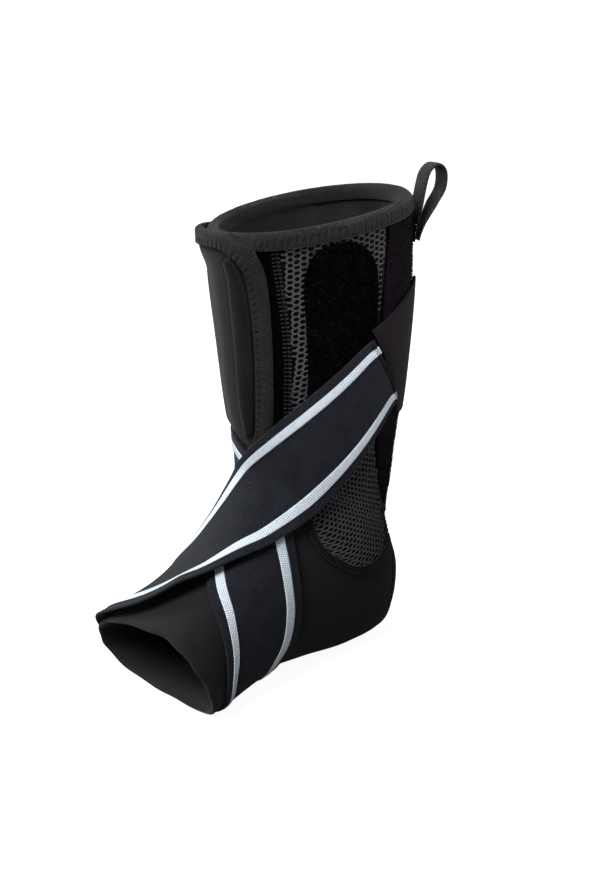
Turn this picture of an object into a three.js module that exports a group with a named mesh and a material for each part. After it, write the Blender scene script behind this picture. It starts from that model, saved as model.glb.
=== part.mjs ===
// Ankle and foot brace for a right foot: an open-toed neoprene boot with a front flap,
// facing panels, and two elastic straps that cross over the instep.
// Millimetres. +X points to the toes, +Y to the inner side of the leg, +Z up.
// The origin lies on the floor, under the ankle, at the middle of the flat heel sole.
import * as THREE from "three";

// Driving sizes
const bootWall = 2.5; // neoprene of the boot and the flap
const facing = 1.2; // mesh, loop cloth and patch laid on the neoprene
const seat = 0.3; // gap between a piece and what it lies on
const panelSeat = 0.45; // the same under a panel, which is laid on curved facets
const elastic = 1.4; // thickness of the straps
const strapSeat = 0.55; // gap under a strap, which bends more sharply
const strapWidth = 48;
const stripeMiddle = 17; // from the strap's centre line to the middle of a stripe
const stripeWidth = 4.8;
const stripeThick = 0.4;
const stripeSeat = 0.15;
const soleClear = 1; // a stripe ends where its strap turns under the sole, this far above the floor
const tabThick = 1.2;
const rimTape = 0.8; // knitted tape folded over the rim
const rimTapeHeight = 7.5;
const rimSeat = 0.75; // gap under the flap where it crosses the rim tape
const flapTape = 1.1; // knitted tape along the flap's free edge
const padEdge = 0.7; // the flap's pad, thin at its edge and crowned in the middle
const padCrown = 2.3;
const hollowSpan = 3.2; // how far the straps stand off where they span the front of the ankle
const toeRise = 5.5; // how far the outer strap's front edge stands off near the toes
const loopWidth = 10;
const loopThick = 1.6;

// Offsets from the leg's surface
const panelInner = bootWall + panelSeat;
const panelOuter = panelInner + facing;
const patchInner = panelOuter + panelSeat;
const patchOuter = patchInner + facing;
const rimOuter = panelOuter + panelSeat + rimTape;
const flapLow = panelInner;
const flapHigh = panelOuter + seat;
const flapOverRim = rimOuter + rimSeat;

// A table of rows with named columns
function table(columns, rows) {
  return rows.map((row) => Object.fromEntries(columns.map((name, k) => [name, row[k]])));
}

// Sections of the leg and foot, from the toe edge to the rim. Each is a closed curve between a
// front point and a back point in the side view, with a half width to each side. ridge moves the
// crest of the foot inwards, widest is the share of the depth where it is widest, skew draws the
// inner side towards the toes and tilt lifts it.
const sections = table(
  ["frontX", "frontZ", "backX", "backZ", "medial", "lateral", "ridge", "frontPower", "backPower",
    "widest", "skew", "tilt"],
  [
    [102, 40.5, 88, 4.4, 40, 47, 13, 2.0, 3.2, 0.62, 3, 2], // toe edge
    [77, 50, 70.5, 4.4, 33, 40.5, 10.5, 2.0, 3.0, 0.6, 5, 0.5], // ball
    [60, 60, 46, 5.5, 31.8, 36.5, 8, 2.0, 2.5, 0.55, 2, 1], // midfoot
    [47.5, 71.5, 18, 2.8, 31, 33.5, 4, 2.0, 2.4, 0.53, 0, 0], // instep
    [38, 83.5, -13, 0.2, 32, 32.5, 2, 2.0, 2.5, 0.53, 0, -0.5], // under the ankle
    [30, 95, -40, 4.0, 33.5, 30.5, 0, 2.0, 2.4, 0.52, 0, -1], // heel
    [29.5, 107, -52, 25, 32.3, 30.4, 0, 2.0, 2.2, 0.47, 0, 0], // back of the heel
    [31.5, 118.7, -43, 54, 32.8, 28, 0, 2.0, 2.1, 0.45, 0, 1], // ankle bones
    [35, 137, -45.5, 88, 32.7, 30.5, 0, 2.0, 2.0, 0.47, 0, 0], // heel tendon
    [36.5, 163, -50, 132, 36, 36.6, 0, 2.1, 2.0, 0.5, 0, 0], // low shin
    [39.5, 191, -52, 182, 38.5, 40.6, 0, 2.1, 2.0, 0.52, 0, 1.5], // mid shin
    [43, 212, -47, 226, 42.3, 37.6, 2, 2.1, 2.0, 0.53, 0.5, 2], // rim
  ],
);

// Pieces laid on the form: each row runs at one share of the way from the toe edge to the rim,
// between two angles round the leg, in degrees from the front towards the inner side.
const panelColumns = ["along", "from", "to"];
const meshRows = table(panelColumns, [
  [0.403, 57, 65],
  [0.413, 51.5, 72],
  [0.433, 46.5, 81],
  [0.474, 42, 91.5],
  [0.516, 40, 102],
  [0.546, 39.2, 108],
  [0.59, 38.8, 114],
  [0.632, 38.6, 116.5],
  [0.682, 38.4, 112.5],
  [0.725, 38.2, 105.5],
  [0.79, 37.5, 97.5],
  [0.861, 34.8, 91.5],
  [0.914, 32.6, 91.8],
  [0.985, 29.4, 94],
]);
const rearRows = table(panelColumns, [
  [0.65, 130, 230],
  [0.66, 121, 239],
  [0.686, 114, 246],
  [0.725, 107, 253],
  [0.79, 99, 261],
  [0.861, 93, 267],
  [0.914, 93.3, 266.7],
  [0.987, 95.5, 264.5],
]);
const frontRows = table(panelColumns, [
  [0.58, -2, 37.4],
  [0.66, -4, 37.2],
  [0.745, -4, 36.7],
  [0.833, -4, 34.6],
  [0.904, -4, 31.5],
  [0.985, -4, 28],
]);
const patchRows = table(panelColumns, [
  [0.7, 60, 82],
  [0.708, 53, 88],
  [0.735, 50, 90.5],
  [0.815, 47, 89.5],
  [0.87, 45, 87],
  [0.914, 44.5, 86],
  [0.946, 47, 81.5],
  [0.964, 51.5, 74],
  [0.972, 58, 67],
]);
const flapRows = table(panelColumns, [
  [0.565, -0.5, 12],
  [0.61, -12, 19.5],
  [0.66, -36, 25],
  [0.7, -58, 27],
  [0.732, -74, 28],
  [0.81, -76, 27],
  [0.888, -76, 26],
  [0.935, -76, 23.6],
  [0.965, -74, 20.6],
  [0.98, -66, 18],
  [0.992, -46, 15],
  [1.002, -24, 10],
  [1.01, -8, 4],
]);
const padRows = table(panelColumns, [
  [0.64, 5.5, 8.5],
  [0.647, 4.8, 10.5],
  [0.68, 3.9, 13.2],
  [0.75, 2.8, 15.2],
  [0.85, 2, 15],
  [0.915, 1.8, 12.6],
  [0.945, 2, 9.2],
  [0.957, 3.5, 6.5],
]);

// Ribbons laid on the form, each between two lines given row by row. A strap's lines are the
// middles of its stripes, the other ribbons' lines are their edges.
const lineColumns = ["upperAround", "upperAlong", "lowerAround", "lowerAlong"];
const flapTapeLines = table(lineColumns, [
  [-64, 0.98, -66, 0.948],
  [-42, 0.993, -42, 0.961],
  [-14, 1.004, -16, 0.972],
  [3, 1.004, -1.5, 0.974],
  [12.5, 0.992, 6.5, 0.962],
  [19, 0.97, 11.5, 0.943],
  [22.7, 0.932, 14.4, 0.918],
  [25.1, 0.888, 16.4, 0.876],
  [26, 0.81, 17, 0.812],
  [27, 0.738, 17.5, 0.738],
  [24, 0.665, 15, 0.68],
  [18.5, 0.615, 10, 0.63],
  [12, 0.575, 3.5, 0.588],
]);
const lateralLines = table(lineColumns, [
  [-167.6, 0.215, -164.5, 0.088],
  [-137.7, 0.214, -145.1, 0.078],
  [-110.2, 0.201, -120.8, 0.054],
  [-82.4, 0.189, -85.6, 0.037],
  [-65.1, 0.187, -52.9, 0.029],
  [-48.7, 0.198, -26.1, 0.048],
  [-32.1, 0.233, -8.3, 0.106],
  [-17.5, 0.302, 8.8, 0.192],
  [-4.9, 0.404, 27.2, 0.309],
  [4, 0.524, 38, 0.452],
  [23.2, 0.632, 54.6, 0.568],
  [45.8, 0.721, 73.7, 0.663],
  [64.7, 0.786, 89.7, 0.738],
  [79.2, 0.827, 102.9, 0.788],
  [88, 0.8425, 109.5, 0.799],
]);
const lateralTabLines = table(lineColumns, [
  [82.4, 0.8605, 119.5, 0.7815],
  [96, 0.879, 131, 0.784],
  [110, 0.895, 142, 0.793],
  [124, 0.907, 151, 0.808],
  [137, 0.912, 158, 0.826],
  [146, 0.906, 160, 0.848],
  [150, 0.892, 158, 0.868],
]);
const medialLines = table(lineColumns, [
  [156.9, 0.187, 175.1, 0.059],
  [136.6, 0.17, 147.3, 0.055],
  [119.3, 0.18, 115.4, 0.07],
  [102.4, 0.209, 81.2, 0.096],
  [80.8, 0.238, 47.8, 0.112],
  [57.9, 0.272, 21.2, 0.135],
  [38, 0.324, 2.2, 0.183],
  [21.5, 0.398, -15.4, 0.245],
  [3, 0.486, -30.3, 0.32],
  [-19.8, 0.573, -43.7, 0.4],
  [-50.2, 0.638, -59.7, 0.482],
  [-77.3, 0.692, -81.3, 0.562],
  [-100.9, 0.726, -103.7, 0.62],
  [-119.4, 0.743, -125.7, 0.659],
]);
const medialTabLines = table(lineColumns, [
  [-119.9, 0.7645, -128.8, 0.641],
  [-134, 0.778, -142, 0.658],
  [-148, 0.789, -155, 0.678],
  [-160, 0.79, -164, 0.705],
  [-166, 0.773, -167, 0.737],
]);

// The pull loop, seen from the side: how far out from the rim and how far up. Above its foot it turns
// towards the back of the leg.
const loopAround = 146;
const loopAlong = 0.945;
const loopTurn = -17;
const turnStart = 6;
const turnEnd = 18;
const loopPath = table(["out", "up"], [
  [0, 0],
  [0.9, 6.8],
  [2.3, 15.3],
  [4.1, 25],
  [6.4, 32.2],
  [10.9, 35.4],
  [15, 32.4],
  [14.9, 24.5],
  [10.6, 17.4],
  [5.9, 10.4],
  [2.9, 3.4],
  [2.3, 0.6],
]);

const { clamp, degToRad, lerp, smoothstep } = THREE.MathUtils;
const range = (count) => Array.from({ length: count }, (_, k) => k);

// All columns of a table at a fractional row number, on a smooth curve through its rows
function between(rows, position) {
  const last = rows.length - 1;
  const k = clamp(Math.floor(position), 0, last - 1);
  const t = position - k;
  const here = rows[k];
  const next = rows[k + 1];
  const result = {};
  for (const name of Object.keys(here)) {
    const b = here[name];
    const c = next[name];
    const a = k > 0 ? rows[k - 1][name] : 2 * b - c;
    const d = k < last - 1 ? rows[k + 2][name] : 2 * c - b;
    const bend = (2 * a - 5 * b + 4 * c - d + (3 * b - a - 3 * c + d) * t) * t;
    result[name] = b + 0.5 * t * (c - a + bend);
  }
  return result;
}

// A point of the leg's surface
function formPoint(around, along) {
  const row = between(sections, along * (sections.length - 1));
  const cosine = Math.cos(degToRad(around));
  const sine = Math.sin(degToRad(around));
  const power = cosine >= 0 ? row.frontPower : row.backPower;
  const reach = (Math.abs(cosine) ** power + Math.abs(sine) ** power) ** (-1 / power);
  const fore = cosine * reach;
  const side = sine * reach;
  const depth = 0.5 - 0.5 * fore + (row.widest - 0.5) * (1 - fore * fore);
  const half = sine >= 0 ? row.medial : row.lateral;
  return new THREE.Vector3(
    lerp(row.frontX, row.backX, depth) + row.skew * side,
    side * half + (fore > 0 ? row.ridge * fore * fore : 0),
    lerp(row.frontZ, row.backZ, depth) + row.tilt * side,
  );
}

// How the surface runs at a point: a step of one degree round it, a step of the whole way along
// it, and its outward normal
function formSlopes(around, along) {
  const degree = 0.4;
  const share = 0.004;
  const level = clamp(along, share, 1 - share);
  const round = formPoint(around + degree, level).sub(formPoint(around - degree, level));
  const up = formPoint(around, level + share).sub(formPoint(around, level - share));
  const normal = new THREE.Vector3().crossVectors(round, up).normalize();
  return { round: round.divideScalar(2 * degree), up: up.divideScalar(2 * share), normal };
}

// A point at an offset from the leg's surface, kept above a floor height
function onForm(around, along, offset, floor = bootWall - offset) {
  const point = formPoint(around, along).addScaledVector(formSlopes(around, along).normal, offset);
  point.z = Math.max(point.z, floor);
  return point;
}

// The share along at a distance below the rim
function belowRim(around, distance) {
  return 1 - distance / formSlopes(around, 1).up.length();
}

// A closed solid through rings of points. Each ring lists one face of the piece and then the other
// face backwards, so that the ends close with a strip between the two. Both faces are split along
// the same diagonals, so that the wall keeps its thickness.
function loft(rings, closed = false) {
  const count = rings[0].length;
  const half = count / 2;
  const positions = rings.flat().flatMap((point) => point.toArray());
  const triangles = [];
  const quad = (a, b, c, d) => triangles.push(a, b, c, a, c, d);
  for (const i of range(closed ? rings.length : rings.length - 1)) {
    const here = i * count;
    const next = ((i + 1) % rings.length) * count;
    for (const k of range(count)) {
      const after = (k + 1) % count;
      if (k < half) quad(here + k, here + after, next + after, next + k);
      else quad(here + after, next + after, next + k, here + k);
    }
  }
  if (!closed) {
    const end = (rings.length - 1) * count;
    for (const k of range(half - 1)) {
      const across = count - 1 - k;
      quad(k, across, across - 1, k + 1);
      quad(end + k, end + k + 1, end + across - 1, end + across);
    }
  }
  return facingOut(positions, triangles);
}

// The geometry of a closed surface, its faces turned outwards
function facingOut(positions, triangles) {
  const corner = (k) => new THREE.Vector3().fromArray(positions, 3 * triangles[k]);
  let volume = 0;
  for (let k = 0; k < triangles.length; k += 3) {
    volume += corner(k).dot(corner(k + 1).cross(corner(k + 2)));
  }
  const outward = volume < 0 ? triangles.toReversed() : triangles;
  const geometry = new THREE.BufferGeometry();
  geometry.setAttribute("position", new THREE.Float32BufferAttribute(positions, 3));
  geometry.setIndex(outward);
  geometry.computeVertexNormals();
  return geometry;
}

// Angles that share the way round the form evenly, taken over a few levels
function evenAngles(count) {
  const levels = [0.05, 0.18, 0.5, 0.8, 1];
  const length = [0];
  for (const degree of range(360)) {
    const steps = levels.map((along) => formSlopes(degree + 0.5, along).round.length());
    length.push(length[degree] + steps.reduce((sum, step) => sum + step, 0));
  }
  return range(count).map((k) => {
    const wanted = (k / count) * length[360];
    const degree = length.findLastIndex((sum) => sum <= wanted);
    return degree + (wanted - length[degree]) / (length[degree + 1] - length[degree]);
  });
}

// The boot: a sleeve from the toe edge to the rim, open at both ends
function boot() {
  const steps = 25;
  const rings = evenAngles(36).map((around) => {
    const top = belowRim(around, rimTape + seat);
    const levels = range(steps + 1).map((k) => (k / steps) * top);
    const outer = levels.map((along) => onForm(around, along, bootWall));
    const inner = levels.map((along) => onForm(around, along, 0));
    return [...outer, ...inner.reverse()];
  });
  return loft(rings, true);
}

// A panel between two offsets, which may change over it. share is the way across, 0 to 1, and
// rise the way up.
function panel(rows, across, stepsPerRow, inner, outer) {
  const steps = (rows.length - 1) * stepsPerRow;
  const rings = range(steps + 1).map((k) => {
    const row = between(rows, k / stepsPerRow);
    const place = range(across + 1).map((n) => {
      const share = n / across;
      return { around: lerp(row.from, row.to, share), along: row.along, share, rise: k / steps };
    });
    const face = (offset) => place.map((p) => onForm(p.around, p.along, offset(p)));
    return [...face(outer), ...face(inner).reverse()];
  });
  return loft(rings);
}

// The gap in millimetres from a place to a panel, 0 inside it
function apart(rows, around, along) {
  const last = rows.length - 1;
  const perDegree = 0.7;
  const perShare = 380;
  const held = clamp(along, rows[0].along, rows[last].along);
  const k = clamp(rows.findLastIndex((row) => row.along <= held), 0, last - 1);
  const t = (held - rows[k].along) / (rows[k + 1].along - rows[k].along);
  const from = lerp(rows[k].from, rows[k + 1].from, t);
  const to = lerp(rows[k].to, rows[k + 1].to, t);
  const turned = from > 90 && around < 0 ? around + 360 : around;
  return Math.max(0, (from - turned) * perDegree, (turned - to) * perDegree,
    Math.abs(along - held) * perShare);
}

// The flap lies on the boot, climbs the front panel at its free side and the rim tape at its top
function flapInner({ around, along }) {
  const onPanel = lerp(flapLow, flapHigh, smoothstep(around, -26, -8));
  const rimDepth = (1 - along) * formSlopes(around, 1).up.length();
  const onRim = 1 - smoothstep(rimDepth, rimTapeHeight + 1, rimTapeHeight + 14);
  return lerp(onPanel, flapOverRim, onRim);
}
const flapOuter = (place) => flapInner(place) + bootWall;

// What lies under the straps. The outer strap lies on the flap too.
const innerUnderlay = [
  { rows: meshRows, top: () => panelOuter },
  { rows: rearRows, top: () => panelOuter },
  { rows: frontRows, top: () => panelOuter },
  { rows: patchRows, top: () => patchOuter },
];
const flapLayer = { rows: flapRows, top: (place) => flapOuter(place) + seat + flapTape };
const outerUnderlay = [...innerUnderlay, flapLayer];

// How far the top of the layers stands off the leg, sloping down beside each piece
function cover(layers, around, along) {
  const margin = 2.5;
  const slope = 10;
  const heights = layers.map(({ rows, top }) => {
    const share = 1 - smoothstep(apart(rows, around, along), margin, slope);
    return share > 0 ? lerp(bootWall, top({ around, along }), share) : bootWall;
  });
  return Math.max(bootWall, ...heights);
}

// What a strap lies on. It spans the hollow in front of the ankle instead of following it.
function strapBed(layers, { around, along }) {
  const hollow = { around: 10, along: 0.49, wide: 32, long: 0.1 };
  const beside = (around - hollow.around) / hollow.wide;
  const above = (along - hollow.along) / hollow.long;
  return cover(layers, around, along) + hollowSpan * Math.exp(-beside * beside - above * above);
}

// A place on a ribbon, at a fractional row of its lines. The upper line is lane 1, the lower one
// lane -1.
function onRibbon(lines, position, lane) {
  const row = between(lines, position);
  const share = 0.5 + 0.5 * lane;
  return {
    around: lerp(row.lowerAround, row.upperAround, share),
    along: lerp(row.lowerAlong, row.upperAlong, share),
    position,
    lane,
  };
}

// A grid of places on a ribbon: one row for each step along it, one column for each lane. The
// steps are closer where the ribbon bends.
function ribbon(lines, lanes, spacing) {
  const perRow = 24;
  const sharpest = 0.22;
  const count = (lines.length - 1) * perRow;
  const middle = range(count + 1).map((k) => onRibbon(lines, k / perRow, 0));
  const points = middle.map(({ around, along }) => onForm(around, along, panelOuter));
  const normals = middle.map(({ around, along }) => formSlopes(around, along).normal);
  const walked = [0];
  for (const k of range(count)) {
    const length = points[k + 1].distanceTo(points[k]) / spacing;
    const turn = normals[k + 1].angleTo(normals[k]) / sharpest;
    walked.push(walked[k] + Math.max(length, turn));
  }
  const steps = Math.round(walked[count]);
  return range(steps + 1).map((k) => {
    const wanted = (k / steps) * walked[count];
    const i = clamp(walked.findLastIndex((sum) => sum <= wanted), 0, count - 1);
    const position = (i + (wanted - walked[i]) / (walked[i + 1] - walked[i])) / perRow;
    return lanes.map((lane) => onRibbon(lines, position, lane));
  });
}

// Heights for a ribbon that is stretched over what lies under it: it rests on the high places and
// spans the hollows between them
function stretched(grid, base) {
  const rounds = 16;
  let lift = grid.map((row) => row.map(base));
  const floor = lift;
  const last = grid.length - 1;
  for (const round of range(rounds)) {
    lift = lift.map((row, i) => row.map((height, k) => {
      const before = lift[Math.max(i - 1, 0)][k];
      const after = lift[Math.min(i + 1, last)][k];
      const beside = 0.5 * (row[Math.max(k - 1, 0)] + row[Math.min(k + 1, row.length - 1)]);
      const mean = 0.4 * (before + after) + 0.2 * beside;
      return Math.max(floor[i][k], mean);
    }));
  }
  return lift;
}

// A ribbon's solid: its inner face at the lifted heights, and all of it kept above the floor
function ribbonSolid(grid, lift, thick, above = 0) {
  const rings = grid.map((row, i) => {
    const face = (extra) => row.map(({ around, along }, k) => {
      return onForm(around, along, lift[i][k] + above + extra, thick - extra);
    });
    return [...face(thick), ...face(0).reverse()];
  });
  return loft(rings);
}

// Adds the top of a laid ribbon to what lies under the next one, with a slope beside it
function overRibbon(grid, lift, thick) {
  const near = 7;
  const far = 20;
  const laid = grid.flatMap((row, i) => row.map((place, k) => {
    return { point: formPoint(place.around, place.along), top: lift[i][k] + thick };
  }));
  return ({ around, along }) => {
    const here = formPoint(around, along);
    const bed = strapBed(outerUnderlay, { around, along });
    const tops = laid.map(({ point, top }) => lerp(top, bed, smoothstep(point.distanceTo(here), near, far)));
    return Math.max(bed, ...tops);
  };
}

// The gap under the outer strap near the toes, between these rows of its lines. It opens from the
// middle of the strap to its front edge.
function toeGap({ position, lane }) {
  const rows = { opening: 3.6, open: 5, closing: 6, closed: 7.4 };
  const lanes = { middle: 0.5, edge: 1.41 };
  const opened = smoothstep(position, rows.opening, rows.open);
  const closed = smoothstep(position, rows.closing, rows.closed);
  return toeRise * opened * (1 - closed) * smoothstep(-lane, lanes.middle, lanes.edge);
}

// The two straps, their stripes and their fastening tabs. The inner strap is laid first.
const stripeSide = stripeWidth / 2;
const halfLanes = [stripeMiddle / 3, stripeMiddle - stripeSide, stripeMiddle + stripeSide, strapWidth / 2];
const strapLanes = [...halfLanes.map((lane) => -lane).reverse(), ...halfLanes]
  .map((lane) => lane / stripeMiddle);
const lowerStripe = [1, 2];
const upperStripe = [5, 6];
const tabLanes = range(8).map((k) => (2 * k) / 7 - 1);
const strapSpacing = 8;

function strap(lines, tabLines, base, standOff = () => 0) {
  const onTop = (place) => base(place) + strapSeat;
  const grid = ribbon(lines, strapLanes, strapSpacing);
  const lift = stretched(grid, (place) => onTop(place) + standOff(place));
  const tabGrid = ribbon(tabLines, tabLanes, strapSpacing);
  const tabLift = stretched(tabGrid, onTop);
  const stripe = (lanes) => {
    const pick = (row) => lanes.map((lane) => row[lane]);
    const places = grid.map(pick);
    const heights = lift.map(pick);
    const above = elastic + stripeSeat;
    const clear = (row, i) => row.every(({ around, along }, k) => {
      return onForm(around, along, heights[i][k] + above + stripeThick).z > soleClear;
    });
    const first = places.findIndex(clear);
    return ribbonSolid(places.slice(first), heights.slice(first), stripeThick, above);
  };
  return {
    band: ribbonSolid(grid, lift, elastic),
    tab: ribbonSolid(tabGrid, tabLift, tabThick),
    stripes: [stripe(upperStripe), stripe(lowerStripe)],
    above: overRibbon(grid, lift, elastic + stripeSeat + stripeThick),
  };
}

// The tape folded over the rim, as a hooked profile carried round it: distance below the rim and
// offset from the leg
function topBinding() {
  const bend = 1;
  const profile = [
    [rimTapeHeight, rimOuter],
    [bend, rimOuter],
    [0, rimOuter - bend],
    [0, bend - rimTape - seat],
    [bend, -rimTape - seat],
    [rimTapeHeight, -rimTape - seat],
    [rimTapeHeight, -seat],
    [rimTape, -seat],
    [rimTape, rimOuter - rimTape],
    [rimTapeHeight, rimOuter - rimTape],
  ];
  const rings = evenAngles(36).map((around) => {
    return profile.map(([below, offset]) => onForm(around, belowRim(around, below), offset));
  });
  return loft(rings, true);
}

// The tape on the flap's top and free edge
function flapBinding() {
  const grid = ribbon(flapTapeLines, [-1, 0, 1], 7);
  const lift = grid.map((row) => row.map((place) => flapOuter(place) + strapSeat));
  return ribbonSolid(grid, lift, flapTape);
}

// The pad on the flap, crowned between its edges
function flapPad() {
  const crown = (share) => Math.sqrt(Math.max(0, 1 - (2 * share - 1) ** 2));
  const inner = (place) => flapOuter(place) + seat;
  const outer = (place) => {
    const height = crown(place.share) * Math.min(1, 2.2 * crown(place.rise));
    return inner(place) + padEdge + padCrown * height;
  };
  return panel(padRows, 6, 2, inner, outer);
}

// The webbing loop at the back of the rim: a flat ribbon bent out and back
function pullLoop() {
  const base = onForm(loopAround, loopAlong, panelOuter + seat + loopThick / 2);
  const out = formSlopes(loopAround, loopAlong).normal.setZ(0).normalize();
  const up = new THREE.Vector3(0, 0, 1);
  const turned = (height) => {
    const turn = loopTurn * smoothstep(height, turnStart, turnEnd);
    return out.clone().applyAxisAngle(up, -degToRad(turn));
  };
  const curve = new THREE.CatmullRomCurve3(loopPath.map((row) => {
    return base.clone().addScaledVector(turned(row.up), row.out).addScaledVector(up, row.up);
  }));
  const steps = 26;
  const rings = range(steps + 1).map((k) => {
    const middle = curve.getPointAt(k / steps);
    const across = turned(middle.z - base.z).cross(up);
    const outward = new THREE.Vector3().crossVectors(curve.getTangentAt(k / steps), across).normalize();
    const corner = (side, face) => middle.clone()
      .addScaledVector(across, (side * loopWidth) / 2)
      .addScaledVector(outward, (face * loopThick) / 2);
    return [corner(-1, 1), corner(1, 1), corner(1, -1), corner(-1, -1)];
  });
  return loft(rings);
}

// Finishes
const finish = (color, roughness) => new THREE.MeshStandardMaterial({ color, roughness, metalness: 0 });
const finishes = {
  neoprene: finish(0x17181a, 0.75),
  mesh: finish(0x2e2f33, 0.7),
  loopCloth: finish(0x0d0d0e, 0.95),
  tape: finish(0x1f1e20, 0.85),
  elastic: finish(0x1a1d23, 0.8),
  stripe: finish(0xc3cad3, 0.5),
  hookTab: finish(0x1b1b1d, 0.8),
  webbing: finish(0x191a1c, 0.75),
};

const brace = new THREE.Group();
function place(name, geometry, material) {
  const mesh = new THREE.Mesh(geometry, material);
  mesh.name = name;
  brace.add(mesh);
}

const even = (offset) => () => offset;
const faced = (rows, across, perRow) => panel(rows, across, perRow, even(panelInner), even(panelOuter));
const medialStrap = strap(medialLines, medialTabLines, (place) => strapBed(innerUnderlay, place));
const lateralStrap = strap(lateralLines, lateralTabLines, medialStrap.above, toeGap);

place("neoprene_boot", boot(), finishes.neoprene);
place("mesh_panel", faced(meshRows, 9, 1), finishes.mesh);
place("rear_panel", faced(rearRows, 15, 2), finishes.loopCloth);
place("front_loop_panel", faced(frontRows, 4, 3), finishes.loopCloth);
place("loop_patch", panel(patchRows, 5, 1, even(patchInner), even(patchOuter)), finishes.loopCloth);
place("front_flap", panel(flapRows, 9, 2, flapInner, flapOuter), finishes.neoprene);
place("flap_binding", flapBinding(), finishes.tape);
place("flap_pad", flapPad(), finishes.neoprene);
place("top_binding", topBinding(), finishes.tape);
place("pull_loop", pullLoop(), finishes.webbing);
for (const [name, made] of [["medial", medialStrap], ["lateral", lateralStrap]]) {
  place(`${name}_strap`, made.band, finishes.elastic);
  place(`${name}_strap_tab`, made.tab, finishes.hookTab);
  place(`${name}_stripe_upper`, made.stripes[0], finishes.stripe);
  place(`${name}_stripe_lower`, made.stripes[1], finishes.stripe);
}

export default brace;
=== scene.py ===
# The looks of an ankle and foot brace: a neoprene boot with mesh and loop cloth panels, a front
# flap, a bound rim, a pull loop and two elastic straps that cross over the instep.
import math
import bpy
import numpy as np
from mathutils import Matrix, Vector


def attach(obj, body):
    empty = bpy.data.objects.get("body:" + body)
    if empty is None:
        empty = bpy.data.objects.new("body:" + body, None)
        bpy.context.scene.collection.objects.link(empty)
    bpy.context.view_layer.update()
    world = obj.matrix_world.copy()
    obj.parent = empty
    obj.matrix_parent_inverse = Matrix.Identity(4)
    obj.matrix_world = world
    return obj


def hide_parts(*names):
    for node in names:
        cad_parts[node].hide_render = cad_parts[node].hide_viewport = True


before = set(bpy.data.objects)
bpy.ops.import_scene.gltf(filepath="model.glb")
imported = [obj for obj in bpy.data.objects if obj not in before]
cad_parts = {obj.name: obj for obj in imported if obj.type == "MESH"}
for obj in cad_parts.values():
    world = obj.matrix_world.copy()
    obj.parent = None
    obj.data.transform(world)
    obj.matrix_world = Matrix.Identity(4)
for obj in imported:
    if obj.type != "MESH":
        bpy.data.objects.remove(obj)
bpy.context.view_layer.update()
dice = np.random.default_rng(11)

# Blender's metres in a millimetre, and a full turn
millimetre = 0.001
turn = 2 * math.pi

# Sizes in millimetres
boot_wall = 2.5
facing = 1.2
seat = 0.3
panel_seat = 0.45
elastic = 1.4
strap_seat = 0.55
strap_width = 48
stripe_middle = 17
stripe_width = 4.8
stripe_thick = 0.4
stripe_seat = 0.15
sole_clear = 1
tab_thick = 1.2
rim_tape = 0.8
rim_tape_height = 7.5
rim_seat = 0.75
flap_tape = 1.1
flap_puff = 3.2
pad_edge = 0.7
pad_crown = 2.3
hollow_span = 3.2
toe_rise = 5.5
loop_width = 10
loop_thick = 1.6

# Offsets from the surface of the form that the brace is drawn over
panel_inner = boot_wall + panel_seat
panel_outer = panel_inner + facing
patch_inner = panel_outer + panel_seat
patch_outer = patch_inner + facing
rim_outer = panel_outer + panel_seat + rim_tape
flap_low = panel_inner
flap_high = panel_outer + seat
flap_over_rim = rim_outer + rim_seat

# Sections of the form from the toe edge to the rim: front x and z, back x and z, half widths to the
# inner and outer side, ridge, front and back power, widest place, skew, tilt
sections = np.array([
    [102, 40.5, 88, 4.4, 40, 47, 13, 2.0, 3.2, 0.62, 3, 2],
    [77, 50, 70.5, 4.4, 33, 40.5, 10.5, 2.0, 3.0, 0.6, 5, 0.5],
    [60, 60, 46, 5.5, 31.8, 36.5, 8, 2.0, 2.5, 0.55, 2, 1],
    [47.5, 71.5, 18, 2.8, 31, 33.5, 4, 2.0, 2.4, 0.53, 0, 0],
    [38, 83.5, -13, 0.2, 32, 32.5, 2, 2.0, 2.5, 0.53, 0, -0.5],
    [30, 95, -40, 4.0, 33.5, 30.5, 0, 2.0, 2.4, 0.52, 0, -1],
    [29.5, 107, -52, 25, 32.3, 30.4, 0, 2.0, 2.2, 0.47, 0, 0],
    [31.5, 118.7, -43, 54, 32.8, 28, 0, 2.0, 2.1, 0.45, 0, 1],
    [35, 137, -45.5, 88, 32.7, 30.5, 0, 2.0, 2.0, 0.47, 0, 0],
    [36.5, 163, -50, 132, 36, 36.6, 0, 2.1, 2.0, 0.5, 0, 0],
    [39.5, 191, -52, 182, 38.5, 40.6, 0, 2.1, 2.0, 0.52, 0, 1.5],
    [43, 212, -47, 226, 42.3, 37.6, 2, 2.1, 2.0, 0.53, 0.5, 2],
])

# Panels laid on the form: the share along it, and the angles between which each row runs
mesh_rows = np.array([
    [0.403, 57, 65],
    [0.413, 51.5, 72],
    [0.433, 46.5, 81],
    [0.474, 42, 91.5],
    [0.516, 40, 102],
    [0.546, 39.2, 108],
    [0.59, 38.8, 114],
    [0.632, 38.6, 116.5],
    [0.682, 38.4, 112.5],
    [0.725, 38.2, 105.5],
    [0.79, 37.5, 97.5],
    [0.861, 34.8, 91.5],
    [0.914, 32.6, 91.8],
    [0.985, 29.4, 94],
])
rear_rows = np.array([
    [0.65, 130, 230],
    [0.66, 121, 239],
    [0.686, 114, 246],
    [0.725, 107, 253],
    [0.79, 99, 261],
    [0.861, 93, 267],
    [0.914, 93.3, 266.7],
    [0.987, 95.5, 264.5],
])
front_rows = np.array([
    [0.58, -2, 37.4],
    [0.66, -4, 37.2],
    [0.745, -4, 36.7],
    [0.833, -4, 34.6],
    [0.904, -4, 31.5],
    [0.985, -4, 28],
])
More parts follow.
